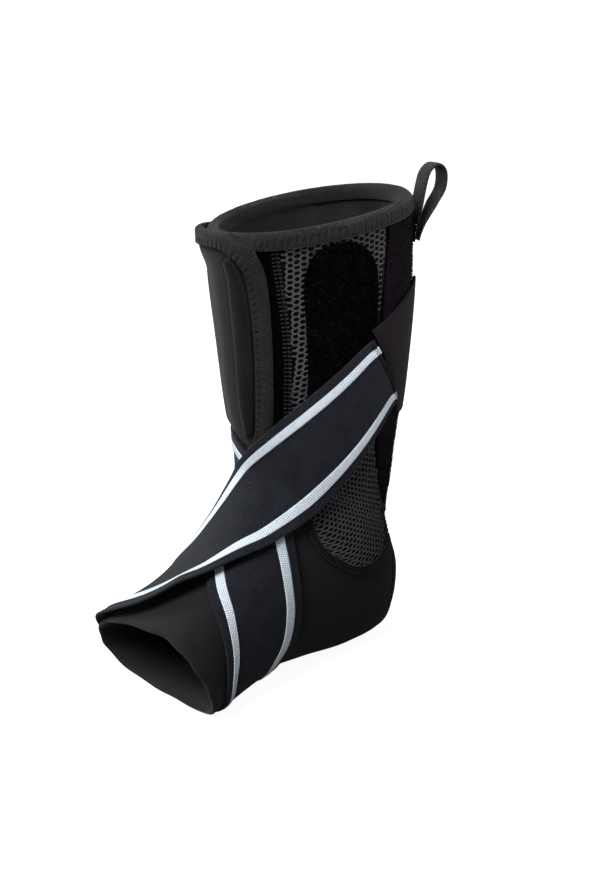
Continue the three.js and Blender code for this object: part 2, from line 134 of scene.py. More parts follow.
patch_rows = np.array([
    [0.7, 60, 82],
    [0.708, 53, 88],
    [0.735, 50, 90.5],
    [0.815, 47, 89.5],
    [0.87, 45, 87],
    [0.914, 44.5, 86],
    [0.946, 47, 81.5],
    [0.964, 51.5, 74],
    [0.972, 58, 67],
])
flap_rows = np.array([
    [0.565, -0.5, 12],
    [0.61, -12, 19.5],
    [0.66, -36, 25],
    [0.7, -58, 27],
    [0.732, -74, 28],
    [0.81, -76, 27],
    [0.888, -76, 26],
    [0.935, -76, 23.6],
    [0.965, -74, 20.6],
    [0.98, -66, 18],
    [0.992, -46, 15],
    [1.002, -24, 10],
    [1.01, -8, 4],
])
pad_rows = np.array([
    [0.64, 5.5, 8.5],
    [0.647, 4.8, 10.5],
    [0.68, 3.9, 13.2],
    [0.75, 2.8, 15.2],
    [0.85, 2, 15],
    [0.915, 1.8, 12.6],
    [0.945, 2, 9.2],
    [0.957, 3.5, 6.5],
])

# Ribbons laid on the form between two lines: angle and share of the upper line, then of the lower.
# The rows of the two straps were fitted to the picture and rounded.
flap_tape_lines = np.array([
    [-64, 0.98, -66, 0.948],
    [-42, 0.993, -42, 0.961],
    [-14, 1.004, -16, 0.972],
    [3, 1.004, -1.5, 0.974],
    [12.5, 0.992, 6.5, 0.962],
    [19, 0.97, 11.5, 0.943],
    [22.7, 0.932, 14.4, 0.918],
    [25.1, 0.888, 16.4, 0.876],
    [26, 0.81, 17, 0.812],
    [27, 0.738, 17.5, 0.738],
    [24, 0.665, 15, 0.68],
    [18.5, 0.615, 10, 0.63],
    [12, 0.575, 3.5, 0.588],
])
lateral_lines = np.array([
    [-167.6, 0.215, -164.5, 0.088],
    [-137.7, 0.214, -145.1, 0.078],
    [-110.2, 0.201, -120.8, 0.054],
    [-82.4, 0.189, -85.6, 0.037],
    [-65.1, 0.187, -52.9, 0.029],
    [-48.7, 0.198, -26.1, 0.048],
    [-32.1, 0.233, -8.3, 0.106],
    [-17.5, 0.302, 8.8, 0.192],
    [-4.9, 0.404, 27.2, 0.309],
    [4, 0.524, 38, 0.452],
    [23.2, 0.632, 54.6, 0.568],
    [45.8, 0.721, 73.7, 0.663],
    [64.7, 0.786, 89.7, 0.738],
    [79.2, 0.827, 102.9, 0.788],
    [88, 0.8425, 109.5, 0.799],
])
lateral_tab_lines = np.array([
    [82.4, 0.8605, 119.5, 0.7815],
    [96, 0.879, 131, 0.784],
    [110, 0.895, 142, 0.793],
    [124, 0.907, 151, 0.808],
    [137, 0.912, 158, 0.826],
    [146, 0.906, 160, 0.848],
    [150, 0.892, 158, 0.868],
])
medial_lines = np.array([
    [156.9, 0.187, 175.1, 0.059],
    [136.6, 0.17, 147.3, 0.055],
    [119.3, 0.18, 115.4, 0.07],
    [102.4, 0.209, 81.2, 0.096],
    [80.8, 0.238, 47.8, 0.112],
    [57.9, 0.272, 21.2, 0.135],
    [38, 0.324, 2.2, 0.183],
    [21.5, 0.398, -15.4, 0.245],
    [3, 0.486, -30.3, 0.32],
    [-19.8, 0.573, -43.7, 0.4],
    [-50.2, 0.638, -59.7, 0.482],
    [-77.3, 0.692, -81.3, 0.562],
    [-100.9, 0.726, -103.7, 0.62],
    [-119.4, 0.743, -125.7, 0.659],
])
medial_tab_lines = np.array([
    [-119.9, 0.7645, -128.8, 0.641],
    [-134, 0.778, -142, 0.658],
    [-148, 0.789, -155, 0.678],
    [-160, 0.79, -164, 0.705],
    [-166, 0.773, -167, 0.737],
])

# The pull loop seen from the side: how far out and how far up. Above its base it turns towards the
# back of the brace.
loop_around = 146
loop_along = 0.945
loop_turn = -17
turn_start = 6
turn_end = 18
loop_path = np.array([
    [0, 0],
    [0.9, 6.8],
    [2.3, 15.3],
    [4.1, 25],
    [6.4, 32.2],
    [10.9, 35.4],
    [15, 32.4],
    [14.9, 24.5],
    [10.6, 17.4],
    [5.9, 10.4],
    [2.9, 3.4],
    [2.3, 0.6],
])


# The form that the pieces lie on
def between(rows, position):
    """All columns of a table at fractional row numbers, on a smooth curve through its rows."""
    position = np.asarray(position, float)
    last = len(rows) - 1
    k = np.clip(np.floor(position).astype(int), 0, last - 1)
    t = (position - k)[..., None]
    b = rows[k]
    c = rows[k + 1]
    a = np.where((k > 0)[..., None], rows[np.maximum(k - 1, 0)], 2 * b - c)
    d = np.where((k < last - 1)[..., None], rows[np.minimum(k + 2, last)], 2 * c - b)
    bend = (2 * a - 5 * b + 4 * c - d + (3 * b - a - 3 * c + d) * t) * t
    return b + 0.5 * t * (c - a + bend)


def form_point(around, along):
    """Points of the form's surface."""
    around, along = np.broadcast_arrays(np.asarray(around, float), np.asarray(along, float))
    row = between(sections, along * (len(sections) - 1))
    (front_x, front_z, back_x, back_z, medial, lateral, ridge, front_power, back_power, widest,
     skew, tilt) = np.moveaxis(row, -1, 0)
    cosine = np.cos(np.radians(around))
    sine = np.sin(np.radians(around))
    power = np.where(cosine >= 0, front_power, back_power)
    reach = (np.abs(cosine) ** power + np.abs(sine) ** power) ** (-1 / power)
    fore = cosine * reach
    side = sine * reach
    depth = 0.5 - 0.5 * fore + (widest - 0.5) * (1 - fore * fore)
    half = np.where(sine >= 0, medial, lateral)
    x = front_x + (back_x - front_x) * depth + skew * side
    y = side * half + np.where(fore > 0, ridge * fore * fore, 0)
    z = front_z + (back_z - front_z) * depth + tilt * side
    return np.stack([x, y, z], -1)


def unit(vectors):
    """The same directions with a length of 1."""
    return vectors / np.linalg.norm(vectors, axis=-1, keepdims=True)


def form_slopes(around, along):
    """How the surface runs: a step of one degree round it, a step of its whole length, its normal."""
    degree = 0.4
    share = 0.004
    level = np.clip(along, share, 1 - share)
    round_step = form_point(around + degree, level) - form_point(around - degree, level)
    up_step = form_point(around, level + share) - form_point(around, level - share)
    normal = unit(np.cross(round_step, up_step))
    return round_step / (2 * degree), up_step / (2 * share), normal


def on_form(around, along, offset, floor=None):
    """Points at an offset from the form's surface, kept above a floor height."""
    around, along, offset = np.broadcast_arrays(np.asarray(around, float), along, offset)
    point = form_point(around, along) + form_slopes(around, along)[2] * offset[..., None]
    lowest = boot_wall - offset if floor is None else floor
    point[..., 2] = np.maximum(point[..., 2], lowest)
    return point


def height_at(offset, around, along):
    """An offset, which may change from place to place."""
    return offset(around, along) if callable(offset) else offset


def below_rim(around, distance):
    """The share along the form at a distance under the rim."""
    around = np.asarray(around, float)
    return 1 - distance / np.linalg.norm(form_slopes(around, np.ones_like(around))[1], axis=-1)


def smooth(x, low, high):
    """An eased step from 0 at low to 1 at high."""
    t = np.clip((x - low) / (high - low), 0, 1)
    return t * t * (3 - 2 * t)


def panel_edges(rows, along):
    """The two angles of a panel at a share along the form."""
    return np.interp(along, rows[:, 0], rows[:, 1]), np.interp(along, rows[:, 0], rows[:, 2])


def apart(rows, around, along):
    """The gap in millimetres from a place to a panel, 0 inside it."""
    per_degree = 0.7
    per_share = 380
    held = np.clip(along, rows[0, 0], rows[-1, 0])
    low, high = panel_edges(rows, held)
    turned = np.where((low > 90) & (around < 0), around + 360, around)
    beside = np.maximum((low - turned) * per_degree, (turned - high) * per_degree)
    return np.maximum(np.maximum(beside, np.abs(along - held) * per_share), 0)


def flap_inner(around, along):
    """The flap lies on the boot, climbs the front panel and, at its top, the rim tape."""
    panel_slope = (-26, -8)
    rim_slope = (rim_tape_height + 1, rim_tape_height + 14)
    on_panel = flap_low + (flap_high - flap_low) * smooth(around, *panel_slope)
    rim_length = np.linalg.norm(form_slopes(around, np.ones_like(along))[1], axis=-1)
    on_rim = 1 - smooth((1 - along) * rim_length, *rim_slope)
    return on_panel + (flap_over_rim - on_panel) * on_rim


def flap_outer(around, along):
    """The outer face of the flap."""
    return flap_inner(around, along) + boot_wall


def cover(around, along, tops):
    """How far the top of some layers stands off the form, sloping down beside each layer."""
    margin = 2.5
    slope = 10
    height = np.full(around.shape, boot_wall)
    for rows, top in tops:
        share = 1 - smooth(apart(rows, around, along), margin, slope)
        height = np.maximum(height, boot_wall + (top - boot_wall) * share)
    return height


def spanned(around, along):
    """How far a strap stands off the hollow over the instep, which it spans."""
    hollow_angle = 10
    hollow_share = 0.49
    angle_spread = 32
    share_spread = 0.1
    beside = (around - hollow_angle) / angle_spread
    beyond = (along - hollow_share) / share_spread
    return hollow_span * np.exp(-beside ** 2 - beyond ** 2)


def inner_bed(around, along):
    """What the inner strap lies on."""
    tops = [
        (mesh_rows, panel_outer),
        (rear_rows, panel_outer),
        (front_rows, panel_outer),
        (patch_rows, patch_outer),
    ]
    return cover(around, along, tops) + spanned(around, along)


def outer_bed(around, along):
    """What the outer strap lies on: the flap too."""
    flap_top = flap_outer(around, along) + seat + flap_tape
    over_flap = cover(around, along, [(flap_rows, flap_top)]) + spanned(around, along)
    return np.maximum(inner_bed(around, along), over_flap)


# Ribbons
def on_ribbon(lines, position, lane):
    """Places on a ribbon: its upper line is lane 1, its lower line lane -1."""
    row = between(lines, position)
    share = 0.5 + 0.5 * lane
    around = row[..., 2] + (row[..., 0] - row[..., 2]) * share
    along = row[..., 3] + (row[..., 1] - row[..., 3]) * share
    return around, along


def ribbon_steps(lines, spacing):
    """Fractional rows along a ribbon, closer where it bends."""
    per_row = 24
    sharpest = 0.22
    fine = np.arange((len(lines) - 1) * per_row + 1) / per_row
    around, along = on_ribbon(lines, fine, 0)
    points = on_form(around, along, panel_outer)
    normals = form_slopes(around, along)[2]
    length = np.linalg.norm(np.diff(points, axis=0), axis=1) / spacing
    bend = np.arccos(np.clip((normals[1:] * normals[:-1]).sum(1), -1, 1)) / sharpest
    walked = np.concatenate([[0], np.cumsum(np.maximum(length, bend))])
    steps = max(2, round(walked[-1]))
    return np.interp(np.linspace(0, walked[-1], steps + 1), walked, fine)


def stretched(lift):
    """Heights of a ribbon that rests on the high places and spans the hollows between them."""
    rounds = 16
    lengthwise = 0.4
    crosswise = 0.1
    floor = lift
    for _ in range(rounds):
        before = np.concatenate([lift[:1], lift[:-1]])
        after = np.concatenate([lift[1:], lift[-1:]])
        left = np.concatenate([lift[:, :1], lift[:, :-1]], 1)
        right = np.concatenate([lift[:, 1:], lift[:, -1:]], 1)
        lift = np.maximum(floor, lengthwise * (before + after) + crosswise * (left + right))
    return lift


def toe_gap(position, lane):
    """How far the outer strap's front edge stands off the boot near the toe edge."""
    rises = (3.6, 5.0)
    sinks = (6.0, 7.4)
    front_lanes = (0.5, 1.41)
    share = smooth(position, *rises) * (1 - smooth(position, *sinks))
    return toe_rise * share * smooth(-lane, *front_lanes)


class Ribbon:
    """A ribbon's lines with its heights on a coarse grid of steps and lanes."""

    def __init__(self, lines, lanes, bed, stand_off=None):
        coarse = 8
        self.lines = lines
        self.lanes = np.asarray(lanes, float)
        self.steps = ribbon_steps(lines, coarse)
        self.places = on_ribbon(lines, self.steps[:, None], self.lanes[None])
        lift = bed(*self.places) + strap_seat
        if stand_off is not None:
            lift = lift + stand_off(self.steps[:, None], self.lanes[None])
        self.lift = stretched(lift)

    def height(self, position, lane):
        """Heights between the coarse steps and lanes."""
        row = np.interp(position, self.steps, np.arange(len(self.steps)))
        column = np.interp(lane, self.lanes, np.arange(len(self.lanes)))
        k = np.clip(np.floor(column).astype(int), 0, len(self.lanes) - 2)
        rows = between(self.lift, row)
        low = np.take_along_axis(rows, k[..., None], -1)[..., 0]
        high = np.take_along_axis(rows, k[..., None] + 1, -1)[..., 0]
        return low + (high - low) * (column - k)

    def point(self, position, lane, above, thick):
        """Points above the underside of a ribbon of some thickness, kept above the floor."""
        position, lane, above = np.broadcast_arrays(np.asarray(position, float), lane, above)
        around, along = on_ribbon(self.lines, position, lane)
        floor = np.maximum(thick - above, 0)
        return on_form(around, along, self.height(position, lane) + above, floor)

    def over(self, top):
        """The bed that this ribbon and what is under it make for the next one."""
        near = 7
        far = 20
        laid = form_point(*self.places).reshape(-1, 3)
        heights = (self.lift + top).ravel()

        def bed(around, along):
            here = form_point(around, along)
            under = outer_bed(around, along)[..., None]
            gap = np.linalg.norm(here[..., None, :] - laid, axis=-1)
            return np.maximum(under, heights + (under - heights) * smooth(gap, near, far)).max(-1)

        return bed


# Meshes
def paired(across, along):
    """A flat chart from places across and along a piece."""
    return np.stack(np.broadcast_arrays(across, along), -1)


def placed(name, data):
    """A new object in the scene."""
    made = bpy.data.objects.new(name, data)
    bpy.context.scene.collection.objects.link(made)
    return made


def make_piece(name, points, faces, chart, material, crease=50, round_chart=None):
    """A mesh object from points in millimetres, faces of one size each, and a flat chart.

    round_chart gives the axis of a closed piece's chart and the length round it.
    """
    mesh = bpy.data.meshes.new(name)
    faces = [np.asarray(block) for block in faces if len(block)]
    loops = np.concatenate([block.ravel() for block in faces])
    sizes = np.concatenate([np.full(len(block), block.shape[1]) for block in faces])
    mesh.vertices.add(len(points))
    mesh.vertices.foreach_set("co", (np.asarray(points) * millimetre).astype(np.float32).ravel())
    mesh.loops.add(len(loops))
    mesh.loops.foreach_set("vertex_index", loops.astype(np.int32))
    mesh.polygons.add(len(sizes))
    starts = np.concatenate([[0], np.cumsum(sizes)[:-1]])
    mesh.polygons.foreach_set("loop_start", starts.astype(np.int32))
    mesh.polygons.foreach_set("loop_total", sizes.astype(np.int32))
    flat = np.asarray(chart, float)[loops]
    if round_chart:
        axis, length = round_chart
        corners = flat.reshape(-1, 4, 2)[..., axis]
        far = corners.max(1, keepdims=True) - corners > length / 2
        flat[:, axis] += length * far.ravel()
    layer = mesh.uv_layers.new(name="cloth")
    layer.data.foreach_set("uv", flat.astype(np.float32).ravel())
    mesh.update(calc_edges=True)
    mesh.validate()
    mesh.shade_smooth()
    mesh.set_sharp_from_angle(angle=math.radians(crease))
    mesh.materials.append(material)
    return placed(name, mesh)


def settle(piece, slot, *nodes):
    """The piece rides on the brace and stands for its solids."""
    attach(piece, "root")
    if nodes:
        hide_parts(*nodes)
    return piece


def grid_quads(rows, columns, wrap_rows=False, wrap_columns=False):
    """Quads of a grid of points that are numbered row by row."""
    i = np.arange(rows if wrap_rows else rows - 1)[:, None]
    j = np.arange(columns if wrap_columns else columns - 1)[None]
    i_next = (i + 1) % rows
    j_next = (j + 1) % columns
    corners = [i * columns + j, i * columns + j_next, i_next * columns + j_next, i_next * columns + j]
    return np.stack(np.broadcast_arrays(*corners), -1).reshape(-1, 4)


def turned_out(points, quads):
    """The quads, reversed if they face inwards."""
    a, b, c, d = (points[quads[:, k]] for k in range(4))
    volume = (a * np.cross(b, c)).sum() + (a * np.cross(c, d)).sum()
    return quads if volume > 0 else quads[:, ::-1]


def wall(name, outer, inner, chart, material, round_length=0):
    """A closed wall between two grids of points. A round one gives its chart's length round it."""
    rows, columns = outer.shape[:2]
    count = rows * columns
    points = np.concatenate([outer.reshape(-1, 3), inner.reshape(-1, 3)])
    face = grid_quads(rows, columns, wrap_rows=bool(round_length))
    back = face[:, ::-1] + count
    number = np.arange(count).reshape(rows, columns)
    border = [number[:, 0][::-1], number[:, -1]]
    if not round_length:
        sides_in_turn = [number[0, :-1], number[:-1, -1], number[-1, :0:-1], number[:0:-1, 0]]
        border = [np.concatenate(sides_in_turn)]
    sides = []
    for line in border:
        ahead = np.roll(line, -1)
        sides.append(np.stack([ahead, line, line + count, ahead + count], -1))
    quads = turned_out(points, np.concatenate([face, back, *sides]))
    flat = chart.reshape(-1, 2)
    both_faces = np.concatenate([flat, flat])
    round_chart = (0, round_length) if round_length else None
    return make_piece(name, points, [quads], both_faces, material, round_chart=round_chart)


def swept(name, rings, chart, material, round_length=0, crease=60):
    """A solid through rings of points, its ends closed with one face each or joined to each other."""
    count, size = rings.shape[:2]
    points = rings.reshape(-1, 3)
    quads = grid_quads(count, size, wrap_rows=bool(round_length), wrap_columns=True)
    quads = turned_out(points, quads)
    faces = [quads]
    round_chart = (1, round_length)
    if not round_length:
        faces += [np.arange(size)[None], np.arange(size)[None, ::-1] + (count - 1) * size]
        round_chart = None
    return make_piece(name, points, faces, chart.reshape(-1, 2), material, crease, round_chart)


def tubes(name, paths, upward, radius, material, sides=6, flat=1.0):
    """Threads along short paths. upward is the direction in which they are flattened."""
    girth_scale = 0.3
    count, steps = paths.shape[:2]
    along = unit(np.gradient(paths, axis=1))
    first = unit(upward - along * (upward * along).sum(-1, keepdims=True))
    second = np.cross(along, first)
    angle = turn * np.arange(sides) / sides
    thick = np.broadcast_to(radius, (count, steps))[..., None, None]
    ring = flat * first[..., None, :] * np.cos(angle)[:, None]
    ring = ring + second[..., None, :] * np.sin(angle)[:, None]
    points = (paths[..., None, :] + ring * thick).reshape(-1, 3)
    one = grid_quads(steps, sides, wrap_columns=True)
    quads = (one[None] + (np.arange(count) * steps * sides)[:, None, None]).reshape(-1, 4)
    walked = np.cumsum(np.linalg.norm(np.diff(paths, axis=1, prepend=paths[:, :1]), axis=-1), 1)
    chart = paired(walked[..., None], angle * girth_scale).reshape(-1, 2)
    return make_piece(name, points, [quads], chart, material, crease=180)


# Shaders
class Value:
    """A shader value that takes part in sums, each of which adds its own node."""

    def __init__(self, nodes, socket):
        self.nodes = nodes
        self.socket = socket

    def sum(self, operation, *others):
        return self.nodes.math(operation, self, *others)

    def __add__(self, other):
        return self.sum("ADD", other)

    def __sub__(self, other):
        return self.sum("SUBTRACT", other)

    def __mul__(self, other):
        return self.sum("MULTIPLY", other)

    def __rsub__(self, other):
        return self.nodes.math("SUBTRACT", other, self)

    __radd__ = __add__
    __rmul__ = __mul__

    def wave(self, pitch, push=None):
        """A sine with one turn in each pitch, pushed on by another value."""
        angle = self * (turn / pitch)
        pushed = angle if push is None else angle + push
        return pushed.sum("SINE")

    def size(self):
        return self.sum("ABSOLUTE")

    def ease(self, low, high):
        settings = {"interpolation_type": "SMOOTHSTEP"}
        return self.nodes.node("ShaderNodeMapRange", settings, {0: self, 1: low, 2: high})


class Nodes:
    """A node tree that is built from nothing."""

    def __init__(self, tree):
        self.tree = tree
        self.tree.nodes.clear()

    def add(self, kind, settings=None, sockets=None):
        """A node of some kind with its settings and with the values or links of its sockets."""
        made = self.tree.nodes.new(kind)
        for key, value in (settings or {}).items():
            setattr(made, key, value)
        for key, value in (sockets or {}).items():
            self.put(made.inputs[key], value)
        return made

    def node(self, kind, settings=None, sockets=None, output=0):
        """What a new node puts out."""
        return Value(self, self.add(kind, settings, sockets).outputs[output])

    def math(self, operation, *values):
        return self.node("ShaderNodeMath", {"operation": operation}, dict(enumerate(values)))

    def put(self, socket, value):
        if isinstance(value, Value):
            self.tree.links.new(value.socket, socket)
        else:
            socket.default_value = value

    def by_ray(self, lighting, seen):
        """One shader for the light that a surface gives, another for how bright it looks."""
        straight = self.node("ShaderNodeLightPath", output="Is Camera Ray")
        return self.node("ShaderNodeMixShader", None, {0: straight, 1: lighting, 2: seen})


class Finish(Nodes):
    """A material with one shader."""

    def __init__(self, name, roughness, specular, sheen=0.0, sheen_roughness=0.5):
        self.material = bpy.data.materials.new(name)
        self.material.use_nodes = True
        super().__init__(self.material.node_tree)
        sockets = {
            "Roughness": roughness,
            "Specular IOR Level": specular,
            "Sheen Weight": sheen,
            "Sheen Roughness": sheen_roughness,
        }
        self.shader = self.add("ShaderNodeBsdfPrincipled", None, sockets)
        self.surface = Value(self, self.shader.outputs[0])
        self.output = self.add("ShaderNodeOutputMaterial", None, {"Surface": self.surface})

    def chart(self):
        """The piece's flat chart in millimetres."""
        return self.node("ShaderNodeUVMap", {"uv_map": "cloth"})

    def ways(self):
        """The chart, and how far a place on it is across the piece and along it."""
        place = self.chart()
        split = self.add("ShaderNodeSeparateXYZ", None, {0: place})
        return place, Value(self, split.outputs[0]), Value(self, split.outputs[1])

    def noise(self, place, scale, detail=2.0, roughness=0.5):
        sockets = {"Vector": place, "Scale": scale, "Detail": detail, "Roughness": roughness}
        return self.node("ShaderNodeTexNoise", None, sockets)

    def colour(self, value):
        self.put(self.shader.inputs["Base Color"], value)

    def cloth(self, tone, dark, light, height, depth, strength=1.0):
        """The material with colours from dark to light and with bumps of some depth in millimetres."""
        colours = {0: tone, 6: dark, 7: light}
        self.colour(self.node("ShaderNodeMix", {"data_type": "RGBA"}, colours, 2))
        sockets = {"Strength": strength, "Distance": depth * millimetre, "Height": height}
        self.put(self.shader.inputs["Normal"], self.node("ShaderNodeBump", None, sockets))
        return self.material


def shade(red, green, blue):
    """An opaque colour."""
    return (red, green, blue, 1.0)


def jersey_neoprene(name, dark, light):
    """Neoprene faced with a fine jersey knit."""
    finish = Finish(name, roughness=0.85, specular=0.08, sheen=0.06, sheen_roughness=0.4)
    place, across, along = finish.ways()
    wale = across.wave(pitch=0.95)
    course = along.wave(pitch=0.7, push=wale * 1.6)
    cloud = finish.noise(place, scale=0.09, detail=3.0)
    grain = finish.noise(place, scale=2.2)
    tone = cloud * 0.6 + grain * 1.1 - 0.4
    finish.put(finish.shader.inputs["Roughness"], 0.8 + cloud * 0.14)
    knit = wale * 0.25 + course * 0.2 + grain * 0.9
    return finish.cloth(tone, dark, light, knit, depth=0.16, strength=0.7)


def mesh_strand():
    """Knitted yarn of the spacer mesh, speckled where its loops catch the light."""
    finish = Finish("mesh_strand", roughness=0.7, specular=0.12, sheen=0.05)
    dark = shade(0.019, 0.019, 0.022)
    light = shade(0.16, 0.158, 0.17)
    place, across, along = finish.ways()
    twist = across.wave(pitch=0.8, push=along * 7)
    fleck = finish.noise(place, scale=1.9, roughness=0.6)
    return finish.cloth(fleck.ease(0.45, 0.72), dark, light, twist * 0.5 + fleck, depth=0.14)


def mesh_ground():
    """The lower face of the spacer mesh: dark yarn, painted darker still as the shade in the net's holes.
    """
    finish = Finish("mesh_ground", roughness=0.95, specular=0.03)
    dark = shade(0.001, 0.001, 0.0014)
    light = shade(0.004, 0.004, 0.005)
    fleck = finish.noise(finish.chart(), scale=1.2)
    return finish.cloth(fleck, dark, light, fleck, depth=0.2)


def loop_cloth(name, dark, light, sheen):
    """Brushed loop cloth, flecked from dark to light. On the fibre yarn the light flecks are painted
    highlights.
    """
    finish = Finish(name, roughness=0.95, specular=0.02, sheen=sheen)
    fleck = finish.noise(finish.chart(), scale=0.9, detail=3.0, roughness=0.6)
    return finish.cloth(fleck.ease(0.47, 0.74), dark, light, fleck, depth=0.4)


def knitted_tape(name, inner, outer, pitch):
    """Soft knitted edge tape, drawn in by stitches between two lines along it, and painted darker in the
    drawn-in creases: painted shade.
    """
    finish = Finish(name, roughness=0.9, specular=0.06, sheen=0.05)
    dark = shade(0.0024, 0.002, 0.0024)
    light = shade(0.0188, 0.0162, 0.0182)
    blur = 0.4
    place, across, along = finish.ways()
    fleck = finish.noise(place, scale=1.1, detail=3.0)
    rib = along.wave(pitch=1.15, push=across.wave(pitch=2.3) * 0.7)
    past_inner = across.ease(inner - blur, inner + blur)
    past_outer = across.ease(outer - blur, outer + blur)
    slant = along + across * 0.25 + fleck * 0.9
    puff = slant.wave(pitch=2 * pitch).size()
    crease = past_inner * (1 - past_outer) * (1 - puff.ease(0.0, 0.6))
    # Painted shade: the tone is darkened in the creases between the stitch lines.
    tone = (fleck * 0.9 + rib * 0.1) * (1 - crease * 0.85)
    return finish.cloth(tone, dark, light, rib * 0.2 + fleck - crease * 1.5, depth=0.3)


def sewing_thread(name, dark, light):
    """Twisted sewing thread."""
    finish = Finish(name, roughness=0.7, specular=0.12, sheen=0.05)
    _, across, along = finish.ways()
    twist = across.wave(pitch=0.4, push=along * 12)
    return finish.cloth(twist * 0.5 + 0.5, dark, light, twist, depth=0.05)


def woven_elastic():
    """Elastic webbing with fine ribs across it."""
    finish = Finish("woven_elastic", roughness=0.8, specular=0.08, sheen=0.05)
    dark = shade(0.0022, 0.0027, 0.0045)
    light = shade(0.0142, 0.016, 0.0222)
    place, across, along = finish.ways()
    cord = across.wave(pitch=1.9)
    rib = along.wave(pitch=0.95, push=cord * 0.6)
    fleck = finish.noise(place, scale=1.3, roughness=0.6)
    cloud = finish.noise(place, scale=0.12)
    tone = rib * 0.22 + fleck * 1.7 + cloud * 0.6 - 0.7
    weave = rib * 0.4 + cord * 0.15 + fleck * 0.8
    return finish.cloth(tone, dark, light, weave, depth=0.2)


def pale_stripe():
    """The pale woven stripe with its small grid of picks."""
    finish = Finish("pale_stripe", roughness=0.6, specular=0.2)
    dark = shade(0.25, 0.29, 0.34)
    light = shade(0.66, 0.72, 0.78)
    place, across, along = finish.ways()
    rib = across.wave(pitch=0.96)
    pick = along.wave(pitch=1.05)
    grid = (rib * 0.5 + 0.5) * (pick * 0.5 + 0.5)
    fleck = finish.noise(place, scale=0.5)
    tone = grid * 1.7 + fleck * 0.5 - 0.15
    return finish.cloth(tone, dark, light, grid, depth=0.15)


def tab_laminate():
    """Smooth laminated cloth of the fastening tabs."""
    finish = Finish("tab_laminate", roughness=0.85, specular=0.07, sheen=0.05)
    dark = shade(0.0018, 0.001, 0.0018)
    light = shade(0.0092, 0.0056, 0.0092)
    place = finish.chart()
    grain = finish.noise(place, scale=1.9)
    cloud = finish.noise(place, scale=0.06)
    return finish.cloth(grain * 0.5 + cloud * 0.5, dark, light, grain, depth=0.12)


def loop_webbing():
    """Narrow webbing with ribs across it."""
    finish = Finish("loop_webbing", roughness=0.75, specular=0.12, sheen=0.05)
    dark = shade(0.006, 0.006, 0.0063)
    light = shade(0.034, 0.034, 0.034)
    place, across, along = finish.ways()
    rib = along.wave(pitch=0.95, push=across * 0.5)
    fleck = finish.noise(place, scale=1.4)
    return finish.cloth(rib * 0.35 + fleck * 0.6, dark, light, rib, depth=0.3)


neoprene = jersey_neoprene(
    "jersey_neoprene", shade(0.0052, 0.005, 0.0054), shade(0.0135, 0.013, 0.0142))
# A darker copy of the jersey neoprene: painted shade, used on the flap pad and the mesh hem.
painted_shade_neoprene = jersey_neoprene(
    "painted_shade_neoprene", shade(0.0025, 0.0024, 0.0026), shade(0.0062, 0.006, 0.0065))
strand_yarn = mesh_strand()
ground_cloth = mesh_ground()
patch_pile = loop_cloth(
    "patch_pile", shade(0.0002, 0.0002, 0.0002), shade(0.0012, 0.0012, 0.0011), sheen=0.0)
# Fibre yarn whose light flecks are painted highlights where the loops catch the light.
yarn_with_painted_glints = loop_cloth(
    "yarn_with_painted_glints", shade(0.0001, 0.0001, 0.0001), shade(0.0095, 0.0095, 0.0088), sheen=0.0)
rear_pile = loop_cloth(
    "rear_pile", shade(0.002, 0.0011, 0.0022), shade(0.014, 0.0095, 0.0148), sheen=0.02)
flap_knit = knitted_tape("flap_tape_knit", inner=-3.6, outer=-0.3, pitch=flap_puff)
rim_knit = knitted_tape("rim_tape_knit", inner=2.2, outer=6.2, pitch=2.7)
thread_yarn = sewing_thread(
    "sewing_thread", shade(0.012, 0.0108, 0.0115), shade(0.03, 0.0275, 0.029))
dim_yarn = sewing_thread(
    "dim_thread", shade(0.005, 0.005, 0.0055), shade(0.016, 0.0155, 0.0165))
dark_yarn = sewing_thread(
    "dark_thread", shade(0.001, 0.001, 0.0012), shade(0.005, 0.0048, 0.0055))
elastic_weave = woven_elastic()
stripe_weave = pale_stripe()
tab_cloth = tab_laminate()
webbing_weave = loop_webbing()


# Charts and edges
def steps_along(points, axis):
    """The way walked along one axis of a grid of points."""
    first = np.take(points, [0], axis)
    return np.linalg.norm(np.diff(points, axis=axis, prepend=first), axis=-1).cumsum(axis)


def walked_chart(points):
    """A flat chart of a grid of points: the way walked across its rows and along its columns."""
    across = steps_along(points, 1)
    return paired(across - across.mean(1, keepdims=True), steps_along(points, 0))


def edge_gap(points):
    """How far each point of a grid is from the grid's nearest edge."""
    down = steps_along(points, 0)
    across = steps_along(points, 1)
    beside = np.minimum(across, across[:, -1:] - across)
    return np.minimum(beside, np.minimum(down, down[-1:] - down))


def rounding(gap, radius):
    """How far a face sinks near an edge that is rounded."""
    near = np.clip(1 - gap / radius, 0, 1)
    return radius * (1 - np.sqrt(np.maximum(1 - near * near, 0)))


def crowded(count, share):
    """Shares from 0 to 1 that crowd towards both ends."""
    t = np.linspace(0, 1, count)
    return t - share * np.sin(turn * t) / turn


def panel_places(rows, across, down, crowd=0.8):
    """A grid of places over a panel."""
    row = between(rows, np.linspace(0, len(rows) - 1, down))
    share = crowded(across, crowd)
    around = row[:, 1:2] + (row[:, 2:3] - row[:, 1:2]) * share
    along = np.repeat(row[:, :1], across, 1)
    return around, along


def soft_panel(name, rows, across, down, inner, outer, material, radius):
    """A sheet of cloth over a panel's places, with rounded edges."""
    around, along = panel_places(rows, across, down)
    outer = height_at(outer, around, along)
    sink = rounding(edge_gap(on_form(around, along, outer)), radius)
    deepest = 0.45 * (outer - inner)
    top = on_form(around, along, outer - sink)
    bottom = on_form(around, along, inner + np.minimum(sink, deepest))
    return wall(name, top, bottom, walked_chart(top), material)


